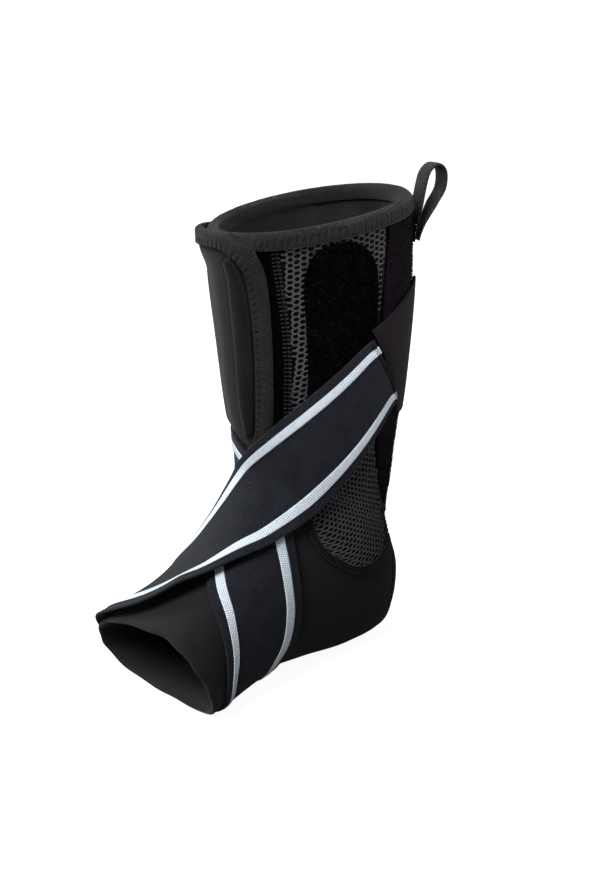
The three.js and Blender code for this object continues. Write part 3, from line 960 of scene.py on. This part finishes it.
# Seams: welts and stitches along a line of angles and shares
def walk(line, spacing):
    """Even steps along a line."""
    per_row = 40
    line = np.asarray(line, float)
    last = len(line) - 1
    row = between(line, np.linspace(0, last, per_row * last + 1))
    points = form_point(row[:, 0], row[:, 1])
    walked = steps_along(points, 0)
    even = np.linspace(0, walked[-1], max(2, round(walked[-1] / spacing)) + 1)
    return np.interp(even, walked, row[:, 0]), np.interp(even, walked, row[:, 1])


def laid_line(line, spacing, offset):
    """Points along a line at an offset, with the surface's normal and the direction beside the line."""
    around, along = walk(line, spacing)
    points = on_form(around, along, height_at(offset, around, along))
    normal = form_slopes(around, along)[2]
    ahead = np.gradient(points, axis=0)
    return points, normal, unit(np.cross(normal, ahead))


def welt(name, line, offset, half_width, height, material, slot):
    """A low rounded welt."""
    spacing = 1.0
    sides = 12
    points, normal, beside = laid_line(line, spacing, offset)
    angle = turn * np.arange(sides) / sides
    rings = points[:, None] + beside[:, None] * (half_width * np.cos(angle))[None, :, None]
    rings = rings + normal[:, None] * (height * np.sin(angle))[None, :, None]
    walked = np.arange(len(points))[:, None] * spacing
    chart = paired(angle * half_width, walked)
    return settle(swept(name, rings, chart, material), slot)


def stitches(name, starts, ends, normals, radius, slot, yarn=None):
    """Short arched stitches from points to points."""
    steps = 5
    crown = 1.4
    drop = 2.4
    t = np.linspace(0, 1, steps)
    arch = radius * (crown - drop * (2 * t - 1) ** 4)
    paths = starts[:, None] + (ends - starts)[:, None] * t[None, :, None]
    paths = paths + normals[:, None] * arch[None, :, None]
    upward = np.repeat(normals[:, None], steps, 1)
    return settle(tubes(name, paths, upward, radius, yarn or thread_yarn), slot)


def running_row(name, points, normals, hidden, radius, slot, yarn=None):
    """Stitches from point to point. A share of each is hidden at both its ends."""
    gap = hidden * (points[1:] - points[:-1])
    return stitches(name, points[:-1] + gap, points[1:] - gap, normals[:-1], radius, slot, yarn)


def bars(name, line, offset, pitch, half_length, radius, slot, shift, yarn):
    """A row of short stitches across a line."""
    points, normal, beside = laid_line(line, pitch, offset)
    points = points + beside * shift
    ends = [points - beside * half_length, points + beside * half_length]
    return stitches(name, *ends, normal, radius, slot, yarn)


def lockstitch(name, line, offset, pitch, radius, slot, shift=0.0):
    """A straight row of stitches."""
    points, normal, beside = laid_line(line, pitch, offset)
    return running_row(name, points + beside * shift, normal, hidden=0.12, radius=radius, slot=slot)


# The boot
def ripple(around, along):
    """Slight unevenness of stretched cloth."""
    depth = 0.09
    angle = np.radians(around)
    long_waves = np.sin(3 * angle + 9 * along) * np.sin(14 * along + 1.3)
    short_waves = 0.6 * np.sin(7 * angle - 23 * along)
    return depth * (long_waves + short_waves)


def make_boot():
    boot_length = 290
    chart_length = 330
    per_degree = 0.72
    edge_steps = np.array([0, 0.15, 0.4, 0.8, 1.3, 2.0, 3.0])
    first_step = 4.2
    step_count = 190
    calm_edge = 6
    rim_thinning = 0.7
    rim_levels = (0.985, 1.0)
    steps = np.linspace(first_step / boot_length, 1, step_count)
    levels = np.concatenate([edge_steps / boot_length, steps])
    angle = np.arange(-180, 180, 2.0)[:, None]
    long_waves = 0.0016 * np.sin(np.radians(5 * angle) + 0.6)
    short_waves = 0.0012 * np.sin(np.radians(11 * angle))
    top = below_rim(angle, rim_tape + seat)
    along = (long_waves + short_waves) * (1 - levels) ** 20 + levels[None] * top
    around = np.repeat(angle, along.shape[1], 1)
    from_toe = (levels * boot_length)[None]
    sink = rounding(from_toe, boot_wall / 2)
    thin = rim_thinning * smooth(levels, *rim_levels)[None]
    swell = ripple(around, along) * smooth(from_toe, 0, calm_edge)
    outer = on_form(around, along, boot_wall - sink + swell)
    inner = on_form(around, along, sink + thin)
    chart = paired(around * per_degree, along * chart_length)
    piece = wall("boot", outer, inner, chart, neoprene, 360 * per_degree)
    return settle(piece, "neoprene", "neoprene_boot")


boot = make_boot()
heel_line = [[131, 0.6], [125, 0.57], [124, 0.522], [128, 0.484], [138, 0.457], [152, 0.43]]
heel_seam = welt("heel_seam", heel_line, boot_wall - 0.1, half_width=0.8, height=0.45,
                 material=neoprene, slot="neoprene")


# The front flap
def make_flap():
    root_width = 9
    root_proud = 0.3
    root_sunk = 0.6
    corner_width = 16
    corner_drop = 0.03
    corner_levels = (0.93, 1.01)
    edge_radius = 1.2
    deepest = 1.1
    groove_depth = 0.6
    groove_width = 1.3
    groove_start = (pad_rows[0, 0] - 0.01, pad_rows[0, 0])
    groove_end = (0.95, 0.965)
    per_degree = 0.7
    around, along = panel_places(flap_rows, across=100, down=120)
    root_gap = steps_along(on_form(around, along, boot_wall), 1)
    rooted = (1 - smooth(root_gap, 0, root_width)) ** 2
    near_corner = (1 - smooth(root_gap, 0, corner_width)) * smooth(along, *corner_levels)
    along = along - corner_drop * near_corner
    low = flap_inner(around, along)
    high = flap_outer(around, along)
    sink = rounding(edge_gap(on_form(around, along, high)), edge_radius)
    from_pad = (around - np.interp(along, pad_rows[:, 0], pad_rows[:, 1])) * per_degree
    beside_pad = smooth(along, *groove_start) * (1 - smooth(along, *groove_end))
    groove = groove_depth * beside_pad * np.exp(-(from_pad / groove_width) ** 2)
    top_height = high - sink - groove - (high - boot_wall - root_proud) * rooted
    low_height = low + np.minimum(sink, deepest) - (low - boot_wall + root_sunk) * rooted
    top = on_form(around, along, top_height)
    bottom = on_form(around, along, low_height)
    piece = wall("front_flap_cloth", top, bottom, walked_chart(top), neoprene)
    return settle(piece, "neoprene", "front_flap")


flap = make_flap()


# The mesh panel: a ground painted dark as the shade in its holes, and a net of yarn
def looked_up(table, row, column):
    """Values between the rows and columns of a table."""
    k = np.clip(row.astype(int), 0, table.shape[0] - 2)
    c = np.clip(column.astype(int), 0, table.shape[1] - 2)
    t = row - k
    s = column - c
    low = table[k, c] * (1 - s) + table[k, c + 1] * s
    high = table[k + 1, c] * (1 - s) + table[k + 1, c + 1] * s
    return low + (high - low) * t


class FlatChart:
    """Places on the form by millimetres round it from one angle and down it from one share."""

    angle_count = 241
    share_count = 281
    fine_count = 601
    rounds = 5

    def __init__(self, middle, low, high, first, last):
        self.middle = float(middle)
        self.angles = np.linspace(low, high, self.angle_count)
        self.shares = np.linspace(first, last, self.share_count)
        angle, share = np.meshgrid(self.angles, self.shares)
        points = on_form(angle, share, panel_outer)
        walked = steps_along(points, 1)
        start = np.array([np.interp(middle, self.angles, row) for row in walked])
        across = walked - start[:, None]
        self.widths = np.linspace(across.min(), across.max(), self.fine_count)
        self.angle_at = np.array([np.interp(self.widths, line, self.angles) for line in across])
        climbed = steps_along(points, 0)
        height = climbed - climbed[-1]
        self.heights = np.linspace(height.min(), 0, self.fine_count)
        self.share_at = np.array([np.interp(self.heights, line, self.shares) for line in height.T])

    def place(self, across, along):
        """The angle and share of a place, found in a few rounds."""
        column = np.interp(across, self.widths, np.arange(self.fine_count))
        level = np.interp(along, self.heights, np.arange(self.fine_count))
        angle = np.full(np.shape(across), self.middle)
        for _ in range(self.rounds):
            meridian = np.interp(angle, self.angles, np.arange(self.angle_count))
            share = looked_up(self.share_at, meridian, level)
            parallel = np.interp(share, self.shares, np.arange(self.share_count))
            angle = looked_up(self.angle_at, parallel, column)
        return angle, share


def net_strands(chart, wide, tall):
    """The two ends of each strand of a honeycomb net on a flat chart. Its cells stand in columns."""
    columns = np.arange(int(chart.widths[0] / wide) - 1, int(chart.widths[-1] / wide) + 2)
    rows = np.arange(int(chart.heights[0] / tall) - 1, 2)
    column, row = np.meshgrid(columns, rows, indexing="ij")
    cell = np.stack([column * wide, (row + 0.5 * (column % 2)) * tall], -1)
    right = cell + [2 * wide / 3, 0]
    above = cell + [wide / 3, tall / 2]
    below = cell + [wide / 3, -tall / 2]
    left_above = cell + [-wide / 3, tall / 2]
    strands = [(left_above, above), (above, right), (right, below)]
    return np.concatenate([np.stack(pair, -2).reshape(-1, 2, 2) for pair in strands])


def make_mesh_panel():
    net_height = 0.85
    overlap = 0.08
    unevenness = 0.09
    side_margin = 1.0
    end_margin = 0.004
    rim_margin = 3.0
    strand_half = 0.47
    strand_arch = np.array([-0.1, 0.08, 0.14, 0.08, -0.1])
    steps = len(strand_arch)
    # The ground's near-black is its dark yarn with painted shade for the holes of the net.
    ground = soft_panel("mesh_ground_cloth", mesh_rows, across=60, down=120, inner=panel_inner,
                        outer=panel_outer - net_height, material=ground_cloth, radius=0.2)
    settle(ground, "spacer_mesh", "mesh_panel")
    chart = FlatChart(middle=65, low=20, high=130, first=0.39, last=0.99)
    ends = net_strands(chart, wide=3.0, tall=2.6)
    t = np.linspace(-overlap, 1 + overlap, steps)[None, :, None]
    path = ends[:, :1] + (ends[:, 1:] - ends[:, :1]) * t
    path = path + dice.normal(0, unevenness, (len(path), 1, 2))
    around, along = chart.place(path[..., 0], path[..., 1])
    low, high = panel_edges(mesh_rows, along)
    inside = (around > low + side_margin) & (around < high - side_margin)
    inside &= along > mesh_rows[0, 0] + end_margin
    inside &= along < below_rim(around, rim_margin)
    keep = inside.all(1)
    around = around[keep]
    along = along[keep]
    points = on_form(around, along, panel_outer - net_height / 2 + strand_arch)
    normal = form_slopes(around, along)[2]
    half_width = strand_half * (0.85 + 0.3 * dice.random((len(points), 1))) * np.ones(steps)
    net = tubes("mesh_net", points, normal, half_width, strand_yarn, sides=8, flat=0.62)
    return ground, settle(net, "spacer_mesh")


mesh_cloth, mesh_net = make_mesh_panel()
hem_line = [
    [40.2, 0.52],
    [41.8, 0.474],
    [46, 0.433],
    [51, 0.412],
    [58, 0.4015],
    [66, 0.4025],
    [73, 0.414],
    [82, 0.435],
    [92.5, 0.476],
    [103, 0.518],
    [109, 0.548],
    [115, 0.592],
    [117, 0.63],
]
# The hem takes the darker copy of the neoprene: painted shade in the puckered seam.
mesh_hem = welt("mesh_hem", hem_line, panel_inner + 0.5, half_width=1.9, height=1.0,
                material=painted_shade_neoprene, slot="spacer_mesh")
hem_inner_row = lockstitch("hem_inner_row", hem_line, panel_outer + 0.1, pitch=2.2, radius=0.2,
                           slot="spacer_mesh", shift=1.5)
hem_outer_row = lockstitch("hem_outer_row", hem_line, panel_outer - 0.2, pitch=2.2, radius=0.2,
                           slot="spacer_mesh", shift=-1.6)


# Loop cloth with its pile
def pile(name, rows, count, offset, tall, half_width, slot, material):
    """Short bent fibres that stand on a panel."""
    margin = 0.6
    root = 0.1
    rim_margin = rim_tape_height - 1
    per_degree = 0.75
    per_share = 380
    rise_share = np.array([0, 0.62, 0.92, 0.7])
    lean_share = np.array([0, 0.25, 0.75, 1.3])
    taper = np.array([1, 0.85, 0.7, 0.5])
    share = np.cumsum(np.concatenate([[0], np.diff(rows[:, 0])])) / (rows[-1, 0] - rows[0, 0])
    row = between(rows, np.interp(dice.random(count), share, np.arange(len(rows))))
    low = row[:, 1] + margin
    high = row[:, 2] - margin
    around = low + (high - low) * dice.random(count)
    along = row[:, 0]
    under_rim = along < below_rim(around, rim_margin)
    around = around[under_rim]
    along = along[under_rim]
    number = len(around)
    base = on_form(around, along, height_at(offset, around, along) - root)
    round_step, _, normal = form_slopes(around, along)
    first = unit(round_step)
    second = np.cross(normal, first)
    bearing = dice.random(number) * turn
    lean = first * np.cos(bearing)[:, None] + second * np.sin(bearing)[:, None]
    across = np.cross(normal, lean)
    length = tall * (0.55 + 0.6 * dice.random(number))[:, None]
    spine = base[:, None] + normal[:, None] * (length * rise_share)[..., None]
    spine = spine + lean[:, None] * (length * lean_share)[..., None]
    half = half_width * taper[None, :, None] * across[:, None]
    points = np.stack([spine - half, spine + half], 2).reshape(-1, 3)
    strip = np.array([[0, 1, 3, 2], [2, 3, 5, 4], [4, 5, 7, 6]])
    corners = 2 * len(taper)
    quads = (strip[None] + corners * np.arange(number)[:, None, None]).reshape(-1, 4)
    chart = np.repeat(paired(around * per_degree, along * per_share), corners, 0)
    return settle(make_piece(name, points, [quads], chart, material, crease=180), slot)


def rear_top(around, along):
    """The outer face of the rear panel, which is pressed thin towards its lower end."""
    form_length = 330
    thin_length = 24
    thinnest = 0.05
    from_end = (along - rear_rows[0, 0]) * form_length
    return boot_wall + thinnest + (panel_outer - boot_wall) * smooth(from_end, 0, thin_length)


rear = soft_panel("rear_cloth", rear_rows, across=110, down=110, inner=boot_wall - 0.2,
                  outer=rear_top, material=rear_pile, radius=0.2)
settle(rear, "loop_cloth", "rear_panel")
rear_fibres = pile("rear_fibres", rear_rows, count=30000, offset=rear_top, tall=0.8, half_width=0.1,
                   slot="loop_cloth", material=rear_pile)
front_strip = soft_panel("front_loop_cloth", front_rows, across=40, down=90, inner=panel_inner,
                         outer=panel_outer, material=patch_pile, radius=0.6)
settle(front_strip, "loop_cloth", "front_loop_panel")
# The fibres' light flecks are painted highlights.
front_fibres = pile("front_fibres", front_rows, count=7000, offset=panel_outer, tall=0.8,
                    half_width=0.1, slot="loop_cloth", material=yarn_with_painted_glints)
patch = soft_panel("loop_patch_cloth", patch_rows, across=70, down=110, inner=patch_inner,
                   outer=patch_outer, material=patch_pile, radius=0.7)
settle(patch, "loop_cloth", "loop_patch")
# The fibres' light flecks are painted highlights.
patch_fibres = pile("patch_fibres", patch_rows, count=18000, offset=patch_outer, tall=0.9,
                    half_width=0.13, slot="loop_cloth", material=yarn_with_painted_glints)

strip_line = [[front_edge - 0.4, along] for along, _, front_edge in front_rows[1:]]
strip_bars = {"pitch": 1.9, "half_length": 0.6, "radius": 0.3, "slot": "loop_cloth", "yarn": dim_yarn}
strip_seam_front = bars("strip_seam_front", strip_line, panel_outer, shift=-1.5, **strip_bars)
strip_seam_rear = bars("strip_seam_rear", strip_line, panel_outer, shift=0.6, **strip_bars)


# Tapes
def make_flap_binding():
    puff_height = 0.35
    half_width = 4
    steps = ribbon_steps(flap_tape_lines, spacing=0.6)
    profile = np.array([
        [-1.0, 0.2],
        [-0.97, 0.7],
        [-0.85, 0.95],
        [-0.6, 0.92],
        [-0.3, 0.9],
        [-0.05, 1.0],
        [0.3, 1.35],
        [0.6, 1.4],
        [0.85, 1.15],
        [1.0, 0.5],
        [1.1, -0.3],
        [1.15, -1.2],
        [1.1, -2.0],
        [0.9, -0.8],
        [0.5, -0.3],
        [-0.9, -0.2],
    ])
    lanes = profile[:, 0]
    around, along = on_ribbon(flap_tape_lines, steps[:, None], lanes[None])
    bed = flap_outer(around, along) + seat
    middle = on_form(around, along, bed)[:, 4]
    walked = steps_along(middle, 0)
    drawn_in = (lanes > -0.95) & (lanes < 0) & (profile[:, 1] > 0.5)
    wave = np.sqrt(np.abs(np.sin(math.pi * walked / flap_puff)))
    puff = puff_height * wave[:, None] * drawn_in
    rings = on_form(around, along, bed + profile[:, 1] + puff)
    chart = paired(lanes * half_width, walked[:, None])
    piece = swept("flap_tape", rings, chart, flap_knit)
    return settle(piece, "knitted_tape", "flap_binding")


def make_top_binding():
    inside = -rim_tape - seat
    profile = np.array([
        [rim_tape_height, rim_outer - 0.6],
        [rim_tape_height - 0.3, rim_outer - 0.1],
        [6.0, rim_outer],
        [4.2, rim_outer - 0.1],
        [2.8, rim_outer - 0.35],
        [1.5, rim_outer - 1.0],
        [0.6, rim_outer - 1.9],
        [0.1, rim_outer - 2.8],
        [0.0, rim_outer - 3.6],
        [0.3, rim_outer - 4.4],
        [1.1, inside + 0.7],
        [2.4, inside + 0.2],
        [4.5, inside],
        [rim_tape_height - 0.3, inside + 0.1],
        [rim_tape_height, inside + 0.4],
        [rim_tape_height, -seat],
        [rim_tape_height - 0.3, rim_outer - rim_tape],
    ])
    per_degree = 0.76
    angle = np.arange(-180, 180, 2.0)[:, None]
    below = profile[:, 0]
    offset = profile[:, 1]
    outside = offset > 2
    along = np.stack([below_rim(angle[:, 0], distance) for distance in below], 1)
    wobble = 0.1 * np.sin(np.radians(17 * angle)) + 0.06 * np.sin(np.radians(41 * angle))
    rings = on_form(np.repeat(angle, len(below), 1), along, offset[None] + wobble * outside)
    across = np.where(outside, below, -below)
    chart = paired(across, angle * per_degree)
    piece = swept("rim_tape", rings, chart, rim_knit, 360 * per_degree)
    return settle(piece, "knitted_tape", "top_binding")


flap_binding = make_flap_binding()
top_binding = make_top_binding()
rim_angles = np.arange(0, 361, 10.0)
rim_line = np.stack([rim_angles, below_rim(rim_angles, 4.2)], 1)
rim_row = lockstitch("rim_row", rim_line, rim_outer + 0.1, pitch=2.4, radius=0.16,
                     slot="knitted_tape", shift=-2.9)


# The pad on the flap
def make_pad():
    down = 130
    blunt = 0.6
    end_slope = 2.2
    sunk = 0.3
    around, along = panel_places(pad_rows, across=40, down=down, crowd=0.6)
    share = (around - around[:, :1]) / (around[:, -1:] - around[:, :1])
    rise = np.linspace(0, 1, down)[:, None]
    crown = np.sqrt(np.maximum(0, 1 - (2 * share - 1) ** 2)) ** blunt
    ends = np.minimum(1, end_slope * np.sqrt(np.maximum(0, 1 - (2 * rise - 1) ** 2)))
    bed = flap_outer(around, along) + seat
    top = on_form(around, along, bed - 0.2 + (pad_edge + pad_crown) * crown * ends)
    bottom = on_form(around, along, bed - sunk)
    # The pad takes the darker copy of the neoprene: painted shade.
    piece = wall("flap_pad_cloth", top, bottom, walked_chart(top), painted_shade_neoprene)
    settle(piece, "neoprene", "flap_pad")


make_pad()


# The straps
stripe_side = stripe_width / 2
stripe_edges = [stripe_middle - stripe_side, stripe_middle + stripe_side]
half_lanes = np.array([stripe_middle / 3, *stripe_edges, strap_width / 2])
strap_lanes = np.concatenate([-half_lanes[::-1], half_lanes]) / stripe_middle
tab_lanes = np.linspace(-1, 1, 8)


def evened(points, share):
    """Points of a grid, evened out along its columns where share is 1."""
    rounds = 40
    even = points
    for _ in range(rounds):
        inner = 0.25 * even[:-2] + 0.5 * even[1:-1] + 0.25 * even[2:]
        even = np.concatenate([even[:1], inner, even[-1:]])
    return points + (even - points) * share[:, None, None]


def ribbon_piece(name, ribbon, lanes, steps, thick, above, material, radius, lane_mm, crossing):
    """A ribbon's solid over a fine grid of lanes and steps. It is evened out where straps cross."""
    first, last = crossing
    share = smooth(steps, first, first + 1) * (1 - smooth(steps, last - 1, last))
    position = steps[:, None]
    lane = np.asarray(lanes)[None]
    whole = thick + above
    sink = rounding(edge_gap(ribbon.point(position, lane, whole, whole)), radius)
    top = evened(ribbon.point(position, lane, whole - sink, whole), share)
    bottom = evened(ribbon.point(position, lane, above + sink * 0.9, whole), share)
    walked = steps_along(top[:, top.shape[1] // 2], 0)
    chart = paired(lane * lane_mm, walked[:, None])
    return wall(name, top, bottom, chart, material)


def end_seam(name, ribbon, back):
    """A row of stitches across a strap, this far before its end."""
    reach = 1.36
    count = 33
    lanes = np.linspace(-reach, reach, count)
    position = np.full(count, ribbon.steps[-1] - back)
    points = ribbon.point(position, lanes, elastic + 0.1, 0)
    around, along = on_ribbon(ribbon.lines, position, lanes)
    normal = form_slopes(around, along)[2]
    return running_row(name, points, normal, hidden=0.14, radius=0.26, slot="elastic", yarn=dark_yarn)


def make_strap(side, lines, tab_lines, bed, crossing, stand_off=None):
    """A strap with its stripes and tab.

    crossing is where it is evened out.
    """
    ribbon = Ribbon(lines, strap_lanes, bed, stand_off)
    fine = ribbon_steps(lines, spacing=1.6)
    reach = strap_width / 2 / stripe_middle
    lanes = reach * (2 * crowded(count=44, share=0.75) - 1)
    band = ribbon_piece(f"{side}_band", ribbon, lanes, fine, thick=elastic, above=0, material=elastic_weave,
                        radius=0.6, lane_mm=stripe_middle, crossing=crossing)
    settle(band, "elastic", f"{side}_strap")
    trim = [
        end_seam(f"{side}_end_row", ribbon, back=0.16),
        end_seam(f"{side}_end_row_inner", ribbon, back=0.3),
    ]
    on_top = elastic + stripe_seat
    sunk = 0.1
    for which, sign in (("upper", 1), ("lower", -1)):
        edges = sign + stripe_side / stripe_middle * (2 * crowded(count=9, share=0.6) - 1)
        top = ribbon.point(fine[:, None], edges[None], on_top + stripe_thick, 0)
        start = np.argmax((top[..., 2] > sole_clear).all(1))
        stripe = ribbon_piece(f"{side}_{which}_line", ribbon, edges, fine[start:],
                              thick=stripe_thick + sunk, above=on_top - sunk, material=stripe_weave,
                              radius=0.3, lane_mm=stripe_middle, crossing=crossing)
        trim.append(settle(stripe, "stripe", f"{side}_stripe_{which}"))
    tab_ribbon = Ribbon(tab_lines, tab_lanes, bed)
    tab_steps = ribbon_steps(tab_lines, spacing=1.4)
    fine_lanes = 2 * crowded(count=40, share=0.75) - 1
    uncrossed = (0, 0)
    tab = ribbon_piece(f"{side}_tab", tab_ribbon, fine_lanes, tab_steps, thick=tab_thick, above=0,
                       material=tab_cloth, radius=0.8, lane_mm=strap_width / 2, crossing=uncrossed)
    settle(tab, "hook_tab", f"{side}_strap_tab")
    return ribbon


medial_ribbon = make_strap("medial", medial_lines, medial_tab_lines, inner_bed, crossing=(6, 11.5))
over_medial = medial_ribbon.over(elastic + stripe_seat + stripe_thick)
make_strap("lateral", lateral_lines, lateral_tab_lines, over_medial, crossing=(7.4, 12.2),
           stand_off=toe_gap)


# The pull loop
def make_pull_loop():
    steps = 180
    side_points = 15
    edge_drop = 0.6
    edge_power = 8
    around = np.array([float(loop_around)])
    along = np.array([float(loop_along)])
    base = on_form(around, along, panel_outer + seat + loop_thick / 2)[0]
    out = unit(form_slopes(around, along)[2][0] * [1, 1, 0])
    up = np.array([0, 0, 1.0])
    beside = np.cross(out, up)
    path = between(loop_path.astype(float), np.linspace(0, len(loop_path) - 1, steps))
    angle = np.radians(loop_turn) * smooth(path[:, 1:], turn_start, turn_end)
    turned = np.cos(angle) * out + np.sin(angle) * beside
    middle = base + path[:, :1] * turned + path[:, 1:] * up
    across = np.cross(turned, up)
    ahead = np.gradient(middle, axis=0)
    face = unit(np.cross(ahead, across))
    lanes = np.linspace(-1, 1, side_points)
    half = [(lane, 1 - edge_drop * abs(lane) ** edge_power) for lane in lanes]
    outline = np.array(half + [(-lane, -height) for lane, height in half])
    rings = middle[:, None] + across[:, None] * (outline[:, :1] * loop_width / 2)[None]
    rings = rings + face[:, None] * (outline[:, 1:] * loop_thick / 2)[None]
    walked = steps_along(middle, 0)
    chart = paired((outline[:, 0] + 1) * loop_width / 2, walked[:, None])
    piece = swept("pull_loop_webbing", rings, chart, webbing_weave, crease=50)
    return settle(piece, "webbing", "pull_loop")


pull_loop = make_pull_loop()


# Camera, light and floor
white = shade(1, 1, 1)


def aimed(name, data, place, direction):
    """A camera or a lamp at a place, turned to a direction."""
    stand = placed(name, data)
    stand.location = place
    stand.rotation_euler = direction.to_track_quat("-Z", "Y").to_euler()
    return stand


def make_camera():
    bearing = math.radians(46.01)
    rise = math.radians(16.78)
    distance = 0.620
    target = Vector((0, 0, 0.110))
    picture_height = 882
    right_of_middle = -2.72
    above_middle = -7.92
    level = math.cos(rise)
    back = Vector((math.cos(bearing) * level, math.sin(bearing) * level, math.sin(rise)))
    camera = bpy.data.cameras.new("camera")
    camera.lens = 52.19
    camera.sensor_width = 36
    camera.shift_x = right_of_middle / picture_height
    camera.shift_y = above_middle / picture_height
    camera.clip_start = 0.01
    bpy.context.scene.camera = aimed("camera", camera, target + back * distance, -back)


def soft_light(name, place, size, power, aim=(0.02, 0, 0.1), spread=180):
    """A round lamp that points at a place on the brace."""
    lamp = bpy.data.lights.new(name, "AREA")
    lamp.shape = "DISK"
    lamp.size = size
    lamp.energy = power
    lamp.spread = math.radians(spread)
    aimed(name, lamp, place, Vector(aim) - Vector(place))


def make_floor():
    """A pale floor, as bright as the backdrop to the camera. It sends little light back up."""
    reach = 4
    drop = 0.0002
    glow = 0.94
    corners = [(-reach, -reach, 0), (reach, -reach, 0), (reach, reach, 0), (-reach, reach, 0)]
    mesh = bpy.data.meshes.new("floor")
    mesh.from_pydata(corners, [], [(0, 1, 2, 3)])
    floor = placed("floor", mesh)
    floor.location.z = -drop
    paint = Finish("pale_floor", roughness=0.9, specular=0.0)
    paint.colour(shade(0.42, 0.42, 0.42))
    paint.put(paint.shader.inputs["Emission Color"], white)
    paint.put(paint.shader.inputs["Emission Strength"], glow)
    dim = paint.node("ShaderNodeBsdfDiffuse", None, {"Color": shade(0.25, 0.25, 0.25)})
    paint.put(paint.output.inputs["Surface"], paint.by_ray(dim, paint.surface))
    mesh.materials.append(paint.material)


def make_room():
    """A white room whose walls look brighter than the light that they give."""
    glow = 0.22
    look = 1.0
    world = bpy.data.worlds.new("studio")
    bpy.context.scene.world = world
    world.use_nodes = True
    walls = Nodes(world.node_tree)
    lighting = walls.node("ShaderNodeBackground", None, {"Color": white, "Strength": glow})
    backdrop = walls.node("ShaderNodeBackground", None, {"Color": white, "Strength": look})
    walls.add("ShaderNodeOutputWorld", None, {"Surface": walls.by_ray(lighting, backdrop)})


make_camera()
soft_light("key", place=(1.05, 0.1, 1.35), size=1.0, power=48)
soft_light("side", place=(0.35, -1.3, 0.6), size=0.7, power=17)
soft_light("upper", place=(0.15, 1.0, 0.75), size=0.16, power=0.085, aim=(0, 0.03, 0.2), spread=8)
make_floor()
make_room()
bpy.context.scene.view_settings.view_transform = "Standard"
